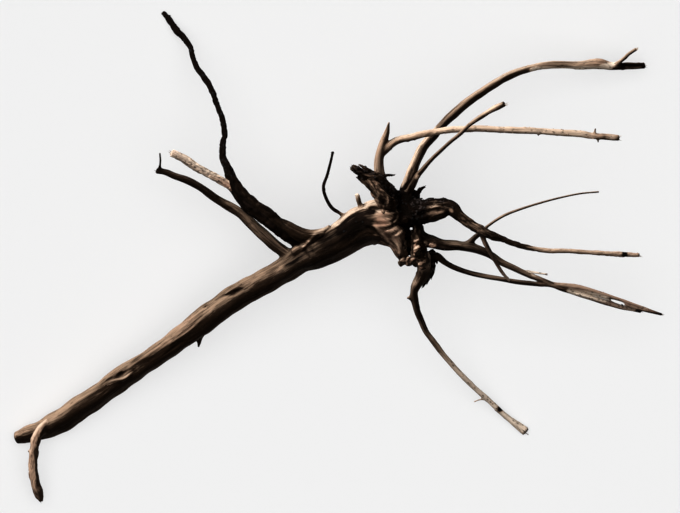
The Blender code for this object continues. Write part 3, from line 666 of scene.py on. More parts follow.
# %% Cut the two channels of the slot, the peep hole and the slit in the tail
# Each line comes with the number of times that its cut is deeper than wide
CUTS = [
    ([(66.2, 19.5, 80, 0.7), (65.9, 15, 79, 1.6), (66.1, 9, 77, 1.8), (66.4, 3, 74, 1.2)], 4.5),
    ([(70.3, 25.5, 80, 1.0), (70.8, 19, 79, 1.9), (71.0, 10, 77, 2.1), (71.4, 3, 74, 2.0),
      (72, -1, 72, 1.2)], 4.5),
    ([(73.0, 27.0, 20, 1.9), (73.2, 27.2, 60, 1.8), (73.4, 27.4, 110, 1.9)], 1.0),
    ([(265, -41.0, 59, 0.4), (271, -43.0, 58, 1.2), (280, -46.2, 57, 1.4), (288, -48.8, 55, 1.2),
      (293, -50.4, 54, 0.5)], 5.0),
]
# Limbs are numbered from nought, so the walls of the cuts start well above them
FIRST_CUT_NUMBER = 200


def cut(body, points, stretch, number):
    """Cuts a swept shape out of the body. The cutter is stretched upwards and downwards first."""
    # The walls of the cut take the near-black tone of the crown knot: painted shade inside the cut
    cutter = grown(f"cutter_{number}", points, sides=18, step=1.0, seed=5.0 + number, flutes=0.0,
                   lumps=0.15, relief="wood", depth=0.4, tone=TONES["crown_knot"])
    spots = read(cutter.data.vertices, "co", 3)
    middle = spots[:, 2].mean()
    spots[:, 2] = middle + stretch * (spots[:, 2] - middle)
    move_points(cutter.data, spots)
    number_faces(cutter, FIRST_CUT_NUMBER + number)
    bpy.context.scene.collection.objects.link(cutter)
    apply_boolean(body, "DIFFERENCE", operand_type="OBJECT", object=cutter)
    bpy.data.objects.remove(cutter)


for number, (points, stretch) in enumerate(CUTS):
    cut(trunk, points, stretch, number)
print("after the cuts", len(trunk.data.vertices), "points")

# %% [markdown]
# ## Soften the joints
#
# A union leaves a sharp crease where two limbs meet, but on living wood the fibres turn
# from one limb into the next. The points near each crease are moved towards the mean of
# their neighbours, most at the crease itself and less two or three rings away.

# %% Keep the outer shell
WELD = 0.00002


def drop_scraps(body, smallest=None):
    """Keeps the largest connected shell alone, or every shell with enough points."""
    shell = bmesh.new()
    shell.from_mesh(body.data)
    bmesh.ops.remove_doubles(shell, verts=shell.verts, dist=WELD)
    bmesh.ops.triangulate(shell, faces=shell.faces)
    left, pieces = set(shell.verts), []
    while left:
        start = left.pop()
        piece, rim = {start}, [start]
        while rim:
            vert = rim.pop()
            for edge in vert.link_edges:
                other = edge.other_vert(vert)
                if other in left:
                    left.discard(other)
                    piece.add(other)
                    rim.append(other)
        pieces.append(piece)
    pieces.sort(key=len, reverse=True)
    scraps = pieces[1:] if smallest is None else [piece for piece in pieces if len(piece) < smallest]
    bmesh.ops.delete(shell, geom=[vert for piece in scraps for vert in piece], context="VERTS")
    shell.to_mesh(body.data)
    shell.free()
    return [len(piece) for piece in pieces]


print("shells", drop_scraps(trunk)[:6])

# %% Smooth along the creases
BOX_SPARE = 0.003
# What is left of the smoothing at each ring of points away from a crease
SPREAD = (0.95, 0.8, 0.7, 0.6)
SMOOTHING = 0.55
# Points with at least this weight are counted as softened
CLEARLY = 0.3


def spread(values, edges, keep):
    """Each point's own value or its neighbours' times keep, whichever is larger."""
    out = values.copy()
    np.maximum.at(out, edges[:, 0], keep * values[edges[:, 1]])
    np.maximum.at(out, edges[:, 1], keep * values[edges[:, 0]])
    return out


def neighbour_mean(values, edges, degree):
    """The mean of the values at each point's neighbours."""
    total = np.zeros_like(values)
    np.add.at(total, edges[:, 0], values[edges[:, 1]])
    np.add.at(total, edges[:, 1], values[edges[:, 0]])
    return total / (degree[:, None] if values.ndim == 2 else degree)


def crease_points(mesh):
    """One where faces of two limbs meet, else nought."""
    limb_of = read(mesh.attributes["limb"].data, "value", kind=np.int32)
    corner_limb = np.repeat(limb_of, read(mesh.polygons, "loop_total", kind=np.int32))
    corners = corner_points(mesh)
    low = np.full(len(mesh.vertices), 10000)
    high = np.full(len(mesh.vertices), -1)
    np.minimum.at(low, corners, corner_limb)
    np.maximum.at(high, corners, corner_limb)
    return (high > low).astype(float)


def soften(mesh, rounds):
    """Smooths the creases, and keeps the mesh on the floor and inside the CAD box."""
    spots, edges = mesh_arrays(mesh)
    degree = np.bincount(edges.ravel(), minlength=len(spots)).astype(float)
    weight = crease_points(mesh)
    for keep in SPREAD:
        weight = spread(weight, edges, keep)
    for _ in range(rounds):
        spots += SMOOTHING * weight[:, None] * (neighbour_mean(spots, edges, degree) - spots)
    spots[:, 2] = np.maximum(spots[:, 2], 0.0)
    low, high = (np.array(corner) for corner in CAD_BOX)
    move_points(mesh, np.clip(spots, low - BOX_SPARE, high + BOX_SPARE))
    mesh.shade_smooth()
    return int((weight > CLEARLY).sum())


print("softened", soften(trunk.data, rounds=10), "points of", len(trunk.data.vertices))

# %% [markdown]
# ## The folds of the crown
#
# Where the roots left the trunk the fibres are wrinkled like cloth: long parallel creases,
# a loop like a bent finger, and pits. They are too fine for limbs of their own. Each is a
# line drawn in the view from above, and the skin near it rises or sinks by a soft
# profile. Low light from the side then does the rest, helped by painted shade along the
# sunk lines and a painted highlight along the raised ones.

# %% Raise and sink the skin along drawn lines
# width, height (below nought sinks), and the line as (x, y) in millimetres
FOLD_LINES = [
    # The valley under the flange, and the pale band below it
    (1.1, -1.9, [(33, 47.5), (39, 47), (44, 47.3), (48, 46.3), (53, 45), (57, 44.5)]),
    (1.6, 1.0, [(29, 33), (34, 37), (40, 41), (46, 43), (52, 43)]),
    (0.9, -0.8, [(36, 35.5), (42, 38), (48, 38.5), (53, 38)]),
    # The bent finger, with a deep crease on each side
    (1.0, -2.1, [(58.3, 41), (57.2, 37), (54.5, 34.2), (50, 32.7), (44, 32.3), (39, 32.6)]),
    (1.2, 1.7, [(60.5, 44), (60.5, 39), (58.4, 34.8), (54, 32), (48, 30.3), (42, 29.7), (39.5, 29.6)]),
    (0.9, -2.1, [(42, 27.6), (46, 26.7), (50, 27.2), (54, 29), (57.5, 31.5)]),
    (0.9, 0.9, [(39.3, 29.5), (40.2, 27), (43, 25)]),
    # Long folds that run down to the lip
    (1.0, 1.5, [(32, 31.5), (37, 28.5), (41, 25), (45.5, 20.5), (50, 15), (55, 9), (59.5, 3.5)]),
    (1.3, -1.6, [(30, 28), (34, 26.3), (38, 24.3), (42, 20.5), (46, 16), (50, 11.5)]),
    (0.9, -1.8, [(44, 24.6), (48, 21.5), (51, 18.5), (54, 14.5), (57, 9.5), (60, 4)]),
    (1.1, 1.3, [(49, 24.5), (53, 21.5), (57, 16), (60, 9), (61.5, 2)]),
    (2.2, 1.9, [(62.3, 24), (62.6, 18), (63, 10), (63.3, 3)]),
    (0.9, -1.9, [(55, 21.3), (58, 23), (61, 25), (64, 28), (66, 31)]),
    (0.9, 1.0, [(57.5, 19.8), (61, 21.5), (64, 23.5)]),
    (0.8, -1.0, [(36, 17.5), (44, 15.5), (50, 12), (56, 7)]),
    (0.8, 0.7, [(28, 20), (38, 19), (44, 17.5), (50, 14)]),
    # The curl under the black heart, and what is beside the hole
    (0.9, 1.0, [(64, 34.5), (65.5, 38.3), (69.5, 38), (70, 35), (67.5, 34)]),
    (0.8, -1.3, [(66.3, 36.3), (68.3, 36)]),
    (1.0, -1.8, [(61.6, 44), (62.3, 38), (62.2, 33)]),
    (0.9, 1.0, [(73.2, 38), (73, 34), (72, 30.8)]),
    (0.9, -1.5, [(71, 36.5), (70.3, 30.5)]), (0.9, -1.5, [(75.8, 37), (75.6, 31)]),
    (1.2, -2.2, [(64, 57), (68, 52), (72, 48), (76, 45)]),
    (1.0, -1.5, [(74.6, 23), (75, 18), (74.7, 10), (74.5, 3)]),
    (0.8, 0.9, [(77, 25), (78, 20), (80.5, 17.3)]),
    (0.9, -1.3, [(79, 27), (80.8, 21), (84, 18.3), (90, 17)]),
    (1.0, -1.8, [(83.4, 8), (85, 4.5), (86, 1)]),
    (0.9, -1.8, [(79.5, 0), (81.5, -2.3), (84, -4.7)]),
    (0.9, -1.2, [(83.7, 15.5), (85.8, 12), (90, 12)]),
    (0.8, -1.1, [(76, 12.3), (79, 11.6), (82.5, 12)]),
    (0.8, -1.1, [(76.5, 5.6), (79, 4.2), (82, 4)]),
    (0.8, -1.2, [(67.2, -3.5), (67.6, -8.5)]), (0.8, -1.2, [(71.6, -3.5), (72, -8.5)]),
    (0.8, -1.1, [(76, -5.5), (77, -9.5)]),
    (0.8, -1.2, [(80.7, -5.5), (82.7, -9.8)]), (0.8, -1.0, [(85.3, -8), (88.2, -9)]),
    # The flange: standing fibres that end in a loop
    (0.8, -1.4, [(30.5, 70), (34, 63), (38, 58.7)]),
    (0.8, 0.8, [(31.5, 72), (36, 65), (39.8, 59.5), (41, 54)]),
    (0.9, 1.0, [(34, 70.5), (38.5, 64), (44, 58.8), (48, 55.3)]),
    (0.8, -1.3, [(35, 72.5), (41, 65), (46.5, 59.3), (49.3, 56.2)]),
    (0.9, 1.0, [(37, 74), (43.5, 67.3), (49, 61), (51, 55), (50, 50)]),
    (0.8, -1.4, [(38, 76), (45.5, 70), (50.3, 63.5), (52.5, 57), (52.7, 48), (53.4, 44)]),
    (1.2, -1.8, [(43.2, 57), (45.6, 54.7), (45.3, 52)]),
    (0.8, 1.0, [(49.7, 57), (50.4, 53), (49, 49.6), (48.8, 47.7)]),
    (0.8, -1.5, [(47.3, 50.3), (47.7, 46.3)]),
    (0.8, -0.9, [(22, 86), (30, 82.5), (38, 80), (46, 76.5)]),
    (0.8, 0.7, [(21, 83.5), (30, 79.3), (39, 77.7), (48, 72)]),
    (0.8, -0.9, [(20.5, 80), (28, 76.8), (34, 74.5)]),
    (0.8, 0.7, [(55, 66), (57, 58), (57.5, 50), (57, 46)]),
    (0.8, -0.7, [(54.5, 60), (55, 52), (55.2, 46)]),
    # The arm: a black crust over brown wood
    (1.0, -2.0, [(82, 49.5), (90, 50.3), (98, 50.6), (108, 50)]),
    (0.8, 0.9, [(88, 46.5), (97, 47.5), (106, 48)]),
    (0.8, -1.1, [(87, 43.5), (96, 45), (104, 45.6)]),
    # The eye and the lip of the big knot, and the folds beside the small ones
    (1.0, -0.7, [(-231, -126), (-225, -123), (-217.5, -119.5), (-212, -114)]),
    (1.0, -0.5, [(-232, -121), (-224, -114), (-215, -108)]),
    (0.9, 0.9, [(-113, -36.5), (-105, -33.8), (-97, -31)]),
    (0.9, -0.9, [(-122, -44), (-112, -39.5), (-104, -38.5), (-96, -33)]),
    (1.0, -0.8, [(-165, -84), (-150, -73), (-136, -60)]),
    (1.0, 0.7, [(-168, -88), (-152, -77), (-138, -65)]),
    # The knot where the branches leave, and the roots' bases
    (0.9, -1.2, [(-50, 17), (-38, 11), (-28, 12), (-16, 18), (-6, 26)]),
    (0.9, 1.3, [(-36, 6), (-31, 12), (-21, 22)]), (0.9, 0.8, [(-29, 6), (-24, 0), (-18, -4)]),
    (0.8, -1.3, [(-42, 11), (-34, 6), (-28, -1)]),
    (1.0, -2.2, [(71.5, 62), (73.5, 72), (76.5, 81)]), (1.0, -1.8, [(68, 66), (71, 76), (74, 86)]),
    (0.9, -1.6, [(84, 16), (96, 12.5), (110, 9), (125, 7)]),
    (0.9, 1.0, [(82, 20), (95, 15), (108, 11.5)]),
    # The split tail of the two middle roots
    (0.7, -1.0, [(234, -34.7), (250, -38), (268, -43.6), (286, -49.5)]),
    (0.8, 0.9, [(238, -31), (262, -36.8), (284, -43.8), (302, -50.5)]),
    (0.9, 1.3, [(238, -38), (254, -42), (268, -46.3)]),
    (0.6, -0.7, [(240, -32.8), (262, -38.8), (285, -46), (306, -53)]),
    (0.6, -0.5, [(246, -42.8), (262, -47.6), (282, -53.5)]),
    (0.7, -0.9, [(205, -24), (222, -31), (238, -36)]),
]


# Beyond this many millimetres from a line its profile has faded to nothing
LINE_REACH = 6
TOO_FAR = 1e9
LINE_GAIN = 2.2


def press_lines(mesh, lines):
    """Raises or sinks the upper skin along lines in the view from above."""
    spots = read(mesh.vertices, "co", 3) / MM
    facing = facing_up(mesh, LINE_GAIN)
    move = np.zeros(len(spots))
    for width, height, line in lines:
        line = smooth_path([(x, y, 0.0, 1.0) for x, y in line], 1.0)[:, :2]
        near = np.full(len(spots), TOO_FAR)
        box = (spots[:, :2] > line.min(0) - LINE_REACH) & (spots[:, :2] < line.max(0) + LINE_REACH)
        box = box.all(1)
        gap = spots[box, None, :2] - line[None]
        near[box] = (gap * gap).sum(2).min(1)
        move += height * np.exp(-near / (2 * width * width))
    spots[:, 2] += facing * move
    move_points(mesh, spots * MM)
    return facing * move


wood_folds = press_lines(trunk.data, FOLD_LINES)
print("folded", int((np.abs(wood_folds) > 0.3).sum()), "points")

# %% [markdown]
# ## The bark that is left
#
# A ragged flange of bark stands up from the crown, and broken ridges of it cover the arm
# root. Bark is a skin of its own over the wood, so it is a piece of its own here, with
# finer rings and a rougher relief. It is rooted well inside the wood.

# %% Grow the flange and the ridges of bark
ARM_BARK = [
    [(72, 53, 84, 5.0), (84, 53, 92, 3.4), (96, 53.8, 99, 2.7), (106, 54.4, 103, 2.0), (112, 54, 104, 1.0)],
    [(80, 48.5, 92, 4.5), (92, 51, 99, 3.4), (104, 52.5, 105, 2.6), (112, 51, 107, 1.6)],
    [(78, 39, 92, 4.6), (90, 42, 99, 3.4), (100, 45, 104, 2.6), (108, 46.5, 107, 1.4)],
    [(76, 36, 88, 4.2), (88, 37, 95, 2.8), (98, 40, 100, 1.6)],
    [(87, 53.8, 92, 2.4), (91, 56.3, 94, 1.7), (95.5, 57.3, 96, 0.7)],
    [(101, 54, 100, 2.2), (104, 56.6, 101, 1.3), (107.5, 57, 102, 0.6)],
    [(80, 54, 88, 2.2), (81.5, 56.6, 90, 1.3), (84, 57.4, 91, 0.6)],
]
# name: lines, sides, step, depth of the relief
BARK_GROUPS = {
    "bark_ridge": (BARK_RIDGES[:2] + BARK_RIDGES[5:], 44, 0.9, 1.35),
    "inner_ridge": (BARK_RIDGES[2:5], 44, 0.9, 1.1), "bark_spike": (BARK_SPIKES, 20, 0.9, 0.8),
    "arm_ridge": (ARM_RIDGES, 36, 1.0, 1.1), "arm_bark": (ARM_BARK, 32, 1.0, 1.1),
}
TONES["arm_bark"] = TONES["arm_ridge"]
bark_limbs = []
for group, (rows, sides, step, depth) in BARK_GROUPS.items():
    for number, points in enumerate(rows):
        bark_limbs.append(grown(f"{group}_{number}", points, sides, step, number + 0.3, LIMB_FLUTES,
                                BARK_LUMPS, "bark", depth, TONES[group], ragged=0.9))
bark = bark_limbs.pop(0)
bark.name = "crown_bark"
bpy.context.scene.collection.objects.link(bark)
join_all(bark, bark_limbs)
FEWEST_BARK_POINTS = 200
print("bark shells", drop_scraps(bark, FEWEST_BARK_POINTS)[:6], "softened", soften(bark.data, rounds=3))
bark_folds = press_lines(bark.data, FOLD_LINES)

# %% [markdown]
# ## Painted light, shade and wear
#
# The side that faces the key light is painted pale and the far side dark: painted light
# and shade. Dirt and painted shade stay in the hollows and sunk lines, and worn edges and
# raised lines are painted bright, partly wear and partly painted highlight. These could be
# painted by hand; here they are measured from the mesh itself, as one vector in each point:
# how much it faces the key light, how hollow it is, and how worn or raised it is.

# %% Measure the side facing the key light, the hollows and the worn edges
# The way towards the key light: the side that faces it is painted light, the far side painted shade
KEY_LIGHT_SIDE = np.array([-0.56, 0.70, 0.42])
BEND_ROUNDS, BROAD_ROUNDS, LIT_SIDE_ROUNDS = 3, 24, 2
BEND_SHARE, DEEP_SHARE = 0.6, 0.6


def evened(values, edges, degree, rounds):
    """The values, blended half and half with the mean of their neighbours in each round."""
    for _ in range(rounds):
        values = 0.5 * values + 0.5 * neighbour_mean(values, edges, degree)
    return values


def limited(values, gain, start=0.0, most=1.0):
    """The values times a gain, from a start value, kept between nought and the most."""
    return np.clip(gain * values + start, 0, most)


def weather_and_light_masks(mesh, folds):
    """Each point's masks from 0 to 1: the lit side for painted light and shade, the hollows for dirt and
    painted shade, and the worn and raised skin. Folds are raised or sunk millimetres.
    """
    spots, edges = mesh_arrays(mesh)
    degree = np.maximum(np.bincount(edges.ravel(), minlength=len(spots)), 1).astype(float)
    normals = read(mesh.vertices, "normal", 3)
    bend = ((neighbour_mean(spots, edges, degree) - spots) * normals).sum(1) / MM
    bend = evened(bend, edges, degree, BEND_ROUNDS)
    broad = spots.copy()
    for _ in range(BROAD_ROUNDS):
        broad = neighbour_mean(broad, edges, degree)
    deep = ((broad - spots) * normals).sum(1) / MM
    # Small bends, broad hollows and the sunk lines each add their share of dirt and painted shade
    hollow = limited(bend, 9) * BEND_SHARE + limited(deep, 0.7) * DEEP_SHARE
    hollow = hollow + limited(folds, -0.36, start=-0.18, most=0.8)
    # Sharp edges are worn, and the raised lines get a painted highlight
    wear_and_highlight = limited(bend, -7, start=-0.1) + limited(folds, 0.45, most=0.7)
    lit_side = np.clip(normals @ (KEY_LIGHT_SIDE / np.linalg.norm(KEY_LIGHT_SIDE)), -1, 1)
    lit_side = evened(lit_side, edges, degree, LIT_SIDE_ROUNDS)
    return np.stack([0.5 + 0.5 * lit_side, np.clip(hollow, 0, 1), np.clip(wear_and_highlight, 0, 1)], 1)


def keep_masks(thing, folds):
    """Stores the masks in the points of a piece."""
    masks = weather_and_light_masks(thing.data, folds)
    layer = thing.data.attributes.new("weather_and_light", "FLOAT_VECTOR", "POINT")
    layer.data.foreach_set("vector", masks.astype(np.float32).ravel())
    return masks.mean(0).round(3)


print("wood: mean open, hollow, worn", keep_masks(trunk, wood_folds))
print("bark: mean open, hollow, worn", keep_masks(bark, bark_folds))

# %% [markdown]
# ## Patches of colour
#
# Some colours belong to a place and not to a limb: the pinkish folds of the crown, the
# black heart, which is painted shade, the pale knobs beside the slot, and painted light and
# shadow along the trunk. Each is a soft round patch, laid over the tone of the limbs.

# %% Lay the patches over the tone
# x, y, radius, pale, warm, bark
# The black heart of the crown is painted shade
HEART_SHADE = [(70, 51, 13, 0, 0, 2.0), (66, 57, 8, 0, 0, 2.0), (75, 57, 8, 0, 0, 2.0), (70, 44, 7, 0, 0, 1.6)]
PATCHES = HEART_SHADE + [
    # Painted shadow: dark patches on the trunk towards the crown, where the branches shade it
    (-30, 6, 12, 0, .1, .5), (-12, 16, 15, 0, .1, .7), (6, 26, 17, 0, .1, .8),
    (22, 34, 14, 0, .15, .8), (33, 44, 8, 0, .3, .6),
    (31, 60, 8, .40, .3, .05),
    (46, 37, 13, .39, .95, 0), (57, 18, 12, .50, .9, 0), (62, 12, 8, .48, .9, 0),
    (40, 28, 8, .42, .9, 0), (50, 12, 7, .32, .8, 0), (48, 22, 9, .42, .9, 0),
    (63, 21, 5, .40, .8, 0), (63.5, 14, 5, .42, .8, 0), (63.5, 7, 5, .42, .8, 0),
    (55, 11, 7, .40, .9, 0), (38, 22, 6, .18, .6, .1),
    (-28, 15, 5, .3, .3, 0),
    (-25, 17, 6, .2, .4, 0), (-33, 11, 5, .16, .4, .1),
    (34, 25.5, 5, 0, .4, .3), (44, 58, 8, .22, .5, 0), (37, 67, 6, .30, .6, 0),
    (67, 36, 4.5, .12, .4, .1), (79, 7, 8, .16, .9, .05), (68, -6, 9, .24, .8, 0),
    (84, -8, 7, .24, .8, 0),
    (95, 12, 4.5, .22, .6, 0), (87, 13, 4, .14, .3, .1), (97, 44, 14, .12, .5, .16),
    (112.5, 45, 3, .35, .9, 0),
    (163, -154, 5, 0, .2, .8), (286, 2, 4, 0, .2, .8), (-150, -70, 15, .05, .4, 0),
    (-222, -118, 8, .02, .2, .1),
    (100, 66, 5, .1, .3, .3), (65, 76, 5, .5, .3, 0), (73, 80, 5, .10, .5, .3),
    (80, 78, 4, .5, .4, 0),
    (264, -41, 2.5, .1, .4, .2), (196, -17, 4, .9, .1, 0), (204, -25, 6, .3, .9, 0),
    (76.5, -27, 3, .3, .5, 0), (286, -49.5, 5, .35, 1, 0),
]
# The same for long stripes: x and y of both ends, then the half width and the tone
STRIPES = [
    # The pale upper edge of the trunk, painted light where it faces the key light, then two dark stripes of
    # painted shadow where the branches shade it
    (-22, 21, -2, 34, 5, .13, .2, 0), (-2, 36, 14, 50, 7, .24, .2, 0),
    (14, 50, 28, 58, 8, .30, .25, 0),
    (-104, -36, -48, -4, 9, 0, .15, .2), (-52, -7, -30, 2, 6, 0, .15, .42),
    # The pale left edge of the lowest root, painted light where it faces the key light
    (63, 71, 72, 93, 3.4, .38, .4, .1), (72, 93, 80, 109, 3.2, .36, .3, .1),
    (80, 109, 96, 129, 2.6, .26, .3, .1),
    # The end of the lowest root: a dark band above, bare wood below
    (205, 196.5, 262, 199, 5, .25, .6, .08), (262, 198, 270, 194, 3.5, .22, .6, .2),
    (196, 185.5, 272, 187, 5, 1, .1, 0), (266, 190, 276, 193, 4, 1, .1, 0),
    (290, 188, 304, 188, 3, .2, .6, .1),
    # The split tail: cream below, pinkish brown above, with dark lines between
    (224, -27.5, 262, -36, 3, .40, .9, 0), (262, -36.5, 308, -52, 3.5, .52, .85, 0),
    (232, -35.2, 269, -44.2, 4, 1.2, .05, 0), (272, -47, 298, -54, 3.5, .64, .8, 0),
    (300, -56, 312, -60, 4, .05, .5, .6),
]
FLANGE_PATCHES = HEART_SHADE + [
    (30, 75, 8, .14, .5, 0), (36, 68, 10, .22, .6, 0), (43, 61, 10, .20, .5, 0),
    (48, 53, 8, .22, .5, 0), (38, 66, 4, .3, .7, 0),
    (45.5, 54.5, 3, .05, .6, .2), (57, 53, 7, .06, .9, .30), (98, 44, 13, .12, .5, .16),
    (112.5, 45, 3, .35, .9, 0),
]


# The share of a patch that shows on upright skin, and its gain towards open skin
SIDE_SHARE, OPEN_GAIN = 0.45, 1.6
# A patch is full within a third of its radius, and ends at its radius
PATCH_FADE = 1.5


def lay_patches(mesh, patches):
    """Blends each patch or stripe into the tone of the face corners near it, unless they face down."""
    corners = corner_points(mesh)
    spots = read(mesh.vertices, "co", 3)[corners, :2] / MM
    layer = mesh.attributes["tone"]
    tone = read(layer.data, "vector", 3, np.float32)
    seen = limited(read(mesh.vertices, "normal", 3)[corners, 2], OPEN_GAIN, SIDE_SHARE)[:, None]
    for *place, radius, pale, warm, dark in patches:
        start, end = np.array(place[:2]), np.array(place[-2:])
        way = end - start
        along = np.clip((spots - start) @ way / max(way @ way, 1e-9), 0, 1)
        gap = np.linalg.norm(spots - start - along[:, None] * way, axis=1) / radius
        share = seen * limited(gap, -PATCH_FADE, PATCH_FADE)[:, None]
        tone += share * (np.array([pale, warm, dark]) - tone)
    layer.data.foreach_set("vector", tone.astype(np.float32).ravel())


lay_patches(trunk.data, PATCHES + STRIPES)
lay_patches(bark.data, FLANGE_PATCHES)
print("patches", len(PATCHES) + len(STRIPES) + len(FLANGE_PATCHES))

# %% [markdown]
# ## The grain and the specks, as shader groups
#
# Grain, checks and dirt specks are wanted in more than one finish, so each is a node group
# that is built once. The grain reads the stored grain vector, in millimetres: its first
# axis runs along the limb, so noise that is stretched on that axis always follows the wood.

# %% Small helpers for node trees
def add(tree, kind, **settings):
    """A new node with its settings."""
    node = tree.nodes.new(kind)
    for key, value in settings.items():
        setattr(node, key, value)
    return node


def feed(tree, node, **inputs):
    """Links or sets a node's inputs, named with underscores for spaces, or i0, i1 by place."""
    for key, value in inputs.items():
        place = int(key[1:]) if key[0] == "i" and key[1:].isdigit() else key.replace("_", " ")
        if isinstance(value, bpy.types.NodeSocket):
            tree.links.new(value, node.inputs[place])
        else:
            node.inputs[place].default_value = value
    return node


def maths(tree, operation, a, b=0.0, clamp=False):
    """One Math node, and its result."""
    node = feed(tree, add(tree, "ShaderNodeMath", operation=operation, use_clamp=clamp), i0=a, i1=b)
    return node.outputs[0]


def plus(tree, a, b, clamp=False):
    """The sum of two numbers."""
    return maths(tree, "ADD", a, b, clamp)


def minus(tree, a, b):
    """The first number less the second."""
    return maths(tree, "SUBTRACT", a, b)


def times(tree, a, b, clamp=False):
    """The product of two numbers."""
    return maths(tree, "MULTIPLY", a, b, clamp)


def remap(tree, value, low, high, to_low=0.0, to_high=1.0):
    """A clamped straight-line change of range."""
    node = add(tree, "ShaderNodeMapRange", clamp=True)
    feed(tree, node, Value=value, From_Min=low, From_Max=high, To_Min=to_low, To_Max=to_high)
    return node.outputs["Result"]


def mix(tree, share, a, b):
    """A colour between a and b."""
    node = add(tree, "ShaderNodeMix", data_type="RGBA")
    feed(tree, node, i0=share, i6=a, i7=b)
    return node.outputs[2]


def scaled(tree, vector, x, y, z):
    """The vector with each axis times its own number."""
    node = add(tree, "ShaderNodeVectorMath", operation="MULTIPLY")
    feed(tree, node, i0=vector, i1=(x, y, z))
    return node.outputs[0]


def resized(tree, vector, size):
    """The whole vector times one number."""
    node = add(tree, "ShaderNodeVectorMath", operation="SCALE")
    feed(tree, node, i0=vector, Scale=size)
    return node.outputs[0]


def noise_at(tree, vector, scale=1.0, detail=3.0, roughness=0.55):
    """Noise from about 0 to 1."""
    node = add(tree, "ShaderNodeTexNoise")
    feed(tree, node, Vector=vector, Scale=scale, Detail=detail, Roughness=roughness)
    return node.outputs["Fac"]


def new_material(name):
    """A material, its node tree and its shader."""
    material = bpy.data.materials.new(name)
    material.use_nodes = True
    return material, material.node_tree, material.node_tree.nodes["Principled BSDF"]


# %% The grain group
def new_group(name, inputs, outputs):
    """A shader group with named inputs (name: kind, value) and number outputs."""
    group = bpy.data.node_groups.new(name, "ShaderNodeTree")
    for key, (kind, value) in inputs.items():
        socket = group.interface.new_socket(key, in_out="INPUT", socket_type=kind)
        if value is not None:
            socket.default_value = value
    for key in outputs:
        group.interface.new_socket(key, in_out="OUTPUT", socket_type="NodeSocketFloat")
    return group, add(group, "NodeGroupInput").outputs, add(group, "NodeGroupOutput")


def grain_group():
    """Fibre streaks, broad bands, long checks and a height, from a grain vector."""
    group, given, out = new_group(
        "wood_grain",
        {"Grain": ("NodeSocketVector", None), "Fineness": ("NodeSocketFloat", 1.0),
         "Check Width": ("NodeSocketFloat", 0.02)},
        ["Streak", "Band", "Check", "Height"],
    )
    grain = given["Grain"]
    fine = resized(group, grain, given["Fineness"])
    streak = noise_at(group, scaled(group, fine, 0.022, 0.55, 0.55), 1, 6, 0.68)
    streak = remap(group, streak, 0.34, 0.66)
    band = remap(group, noise_at(group, scaled(group, grain, 0.018, 0.16, 0.16), 1, 3, 0.5), 0.32, 0.68)
    # A check runs where this noise crosses its own middle
    split = noise_at(group, scaled(group, fine, 0.016, 0.34, 0.34), 1, 2, 0.5)
    distance = maths(group, "ABSOLUTE", minus(group, split, 0.5))
    check = remap(group, distance, 0.0, given["Check Width"], 1.0, 0.0)
    height = minus(group, times(group, streak, 0.5), check)
    feed(group, out, Streak=streak, Band=band, Check=check, Height=height)
    return group


WOOD_GRAIN = grain_group()
print("group", WOOD_GRAIN.name)

# %% The group of dirt specks
def speck_group():
    """Scattered specks: dark pits, lenticels and crumbs of dirt."""
    group, given, out = new_group(
        "dirt_specks",
        {"Grain": ("NodeSocketVector", None), "Size": ("NodeSocketFloat", 0.3),
         "Amount": ("NodeSocketFloat", 0.3)},
        ["Speck"],
    )
    cells = add(group, "ShaderNodeTexVoronoi", feature="F1")
    feed(group, cells, Vector=scaled(group, given["Grain"], 0.22, 0.42, 0.42), Scale=1.0)
    # The cell's random colour says whether it has a speck at all
    split = feed(group, add(group, "ShaderNodeSeparateColor"), Color=cells.outputs["Color"])
    there = maths(group, "LESS_THAN", split.outputs[0], given["Amount"])
    core = times(group, given["Size"], 0.6)
    dot = remap(group, cells.outputs["Distance"], core, given["Size"], 1.0, 0.0)
    feed(group, out, Speck=times(group, there, dot))
    return group


DIRT_SPECKS = speck_group()
print("group", DIRT_SPECKS.name)

# %% [markdown]
# ## The wood finish
#
# One finish covers the whole piece, because the colour of the real wood runs on from limb
# to limb. It starts from dark brown, painted shade on the side away from the key light,
# turns grey-brown as painted light on the side that faces it, then cream, pink or black by
# the tone of the limb, and dark again in the checks, partly dirt and partly painted shade.

# %% Colours and the wood material
# The dark, shade and under colours are painted shade on the side away from the key light; grey, tan and cream
# are the bare wood on its painted lit side. The dirt colour is dirt and painted shade, the bark dust colour
# dust and painted highlight.
DARK_WOOD = (0.0095, 0.0045, 0.0022, 1)
GREY_WOOD = (0.215, 0.153, 0.107, 1)
CREAM_WOOD = (0.74, 0.62, 0.50, 1)
TAN_WOOD = (0.38, 0.268, 0.190, 1)
PINK_WOOD = (0.235, 0.130, 0.090, 1)
BLACK_BARK = (0.0020, 0.0013, 0.0010, 1)
BARK_DUST_AND_SHEEN = (0.010, 0.0060, 0.0046, 1)
DIRT_AND_SHADE = (0.0055, 0.0028, 0.0018, 1)
SHADE_WOOD = (0.085, 0.052, 0.034, 1)
UNDER_WOOD = (0.110, 0.072, 0.048, 1)


def stored(tree, key):
    """The three numbers of a vector that the mesh has stored."""
    vector = add(tree, "ShaderNodeAttribute", attribute_name=key).outputs["Vector"]
    parts = feed(tree, add(tree, "ShaderNodeSeparateXYZ"), Vector=vector)
    return [parts.outputs[axis] for axis in "XYZ"]


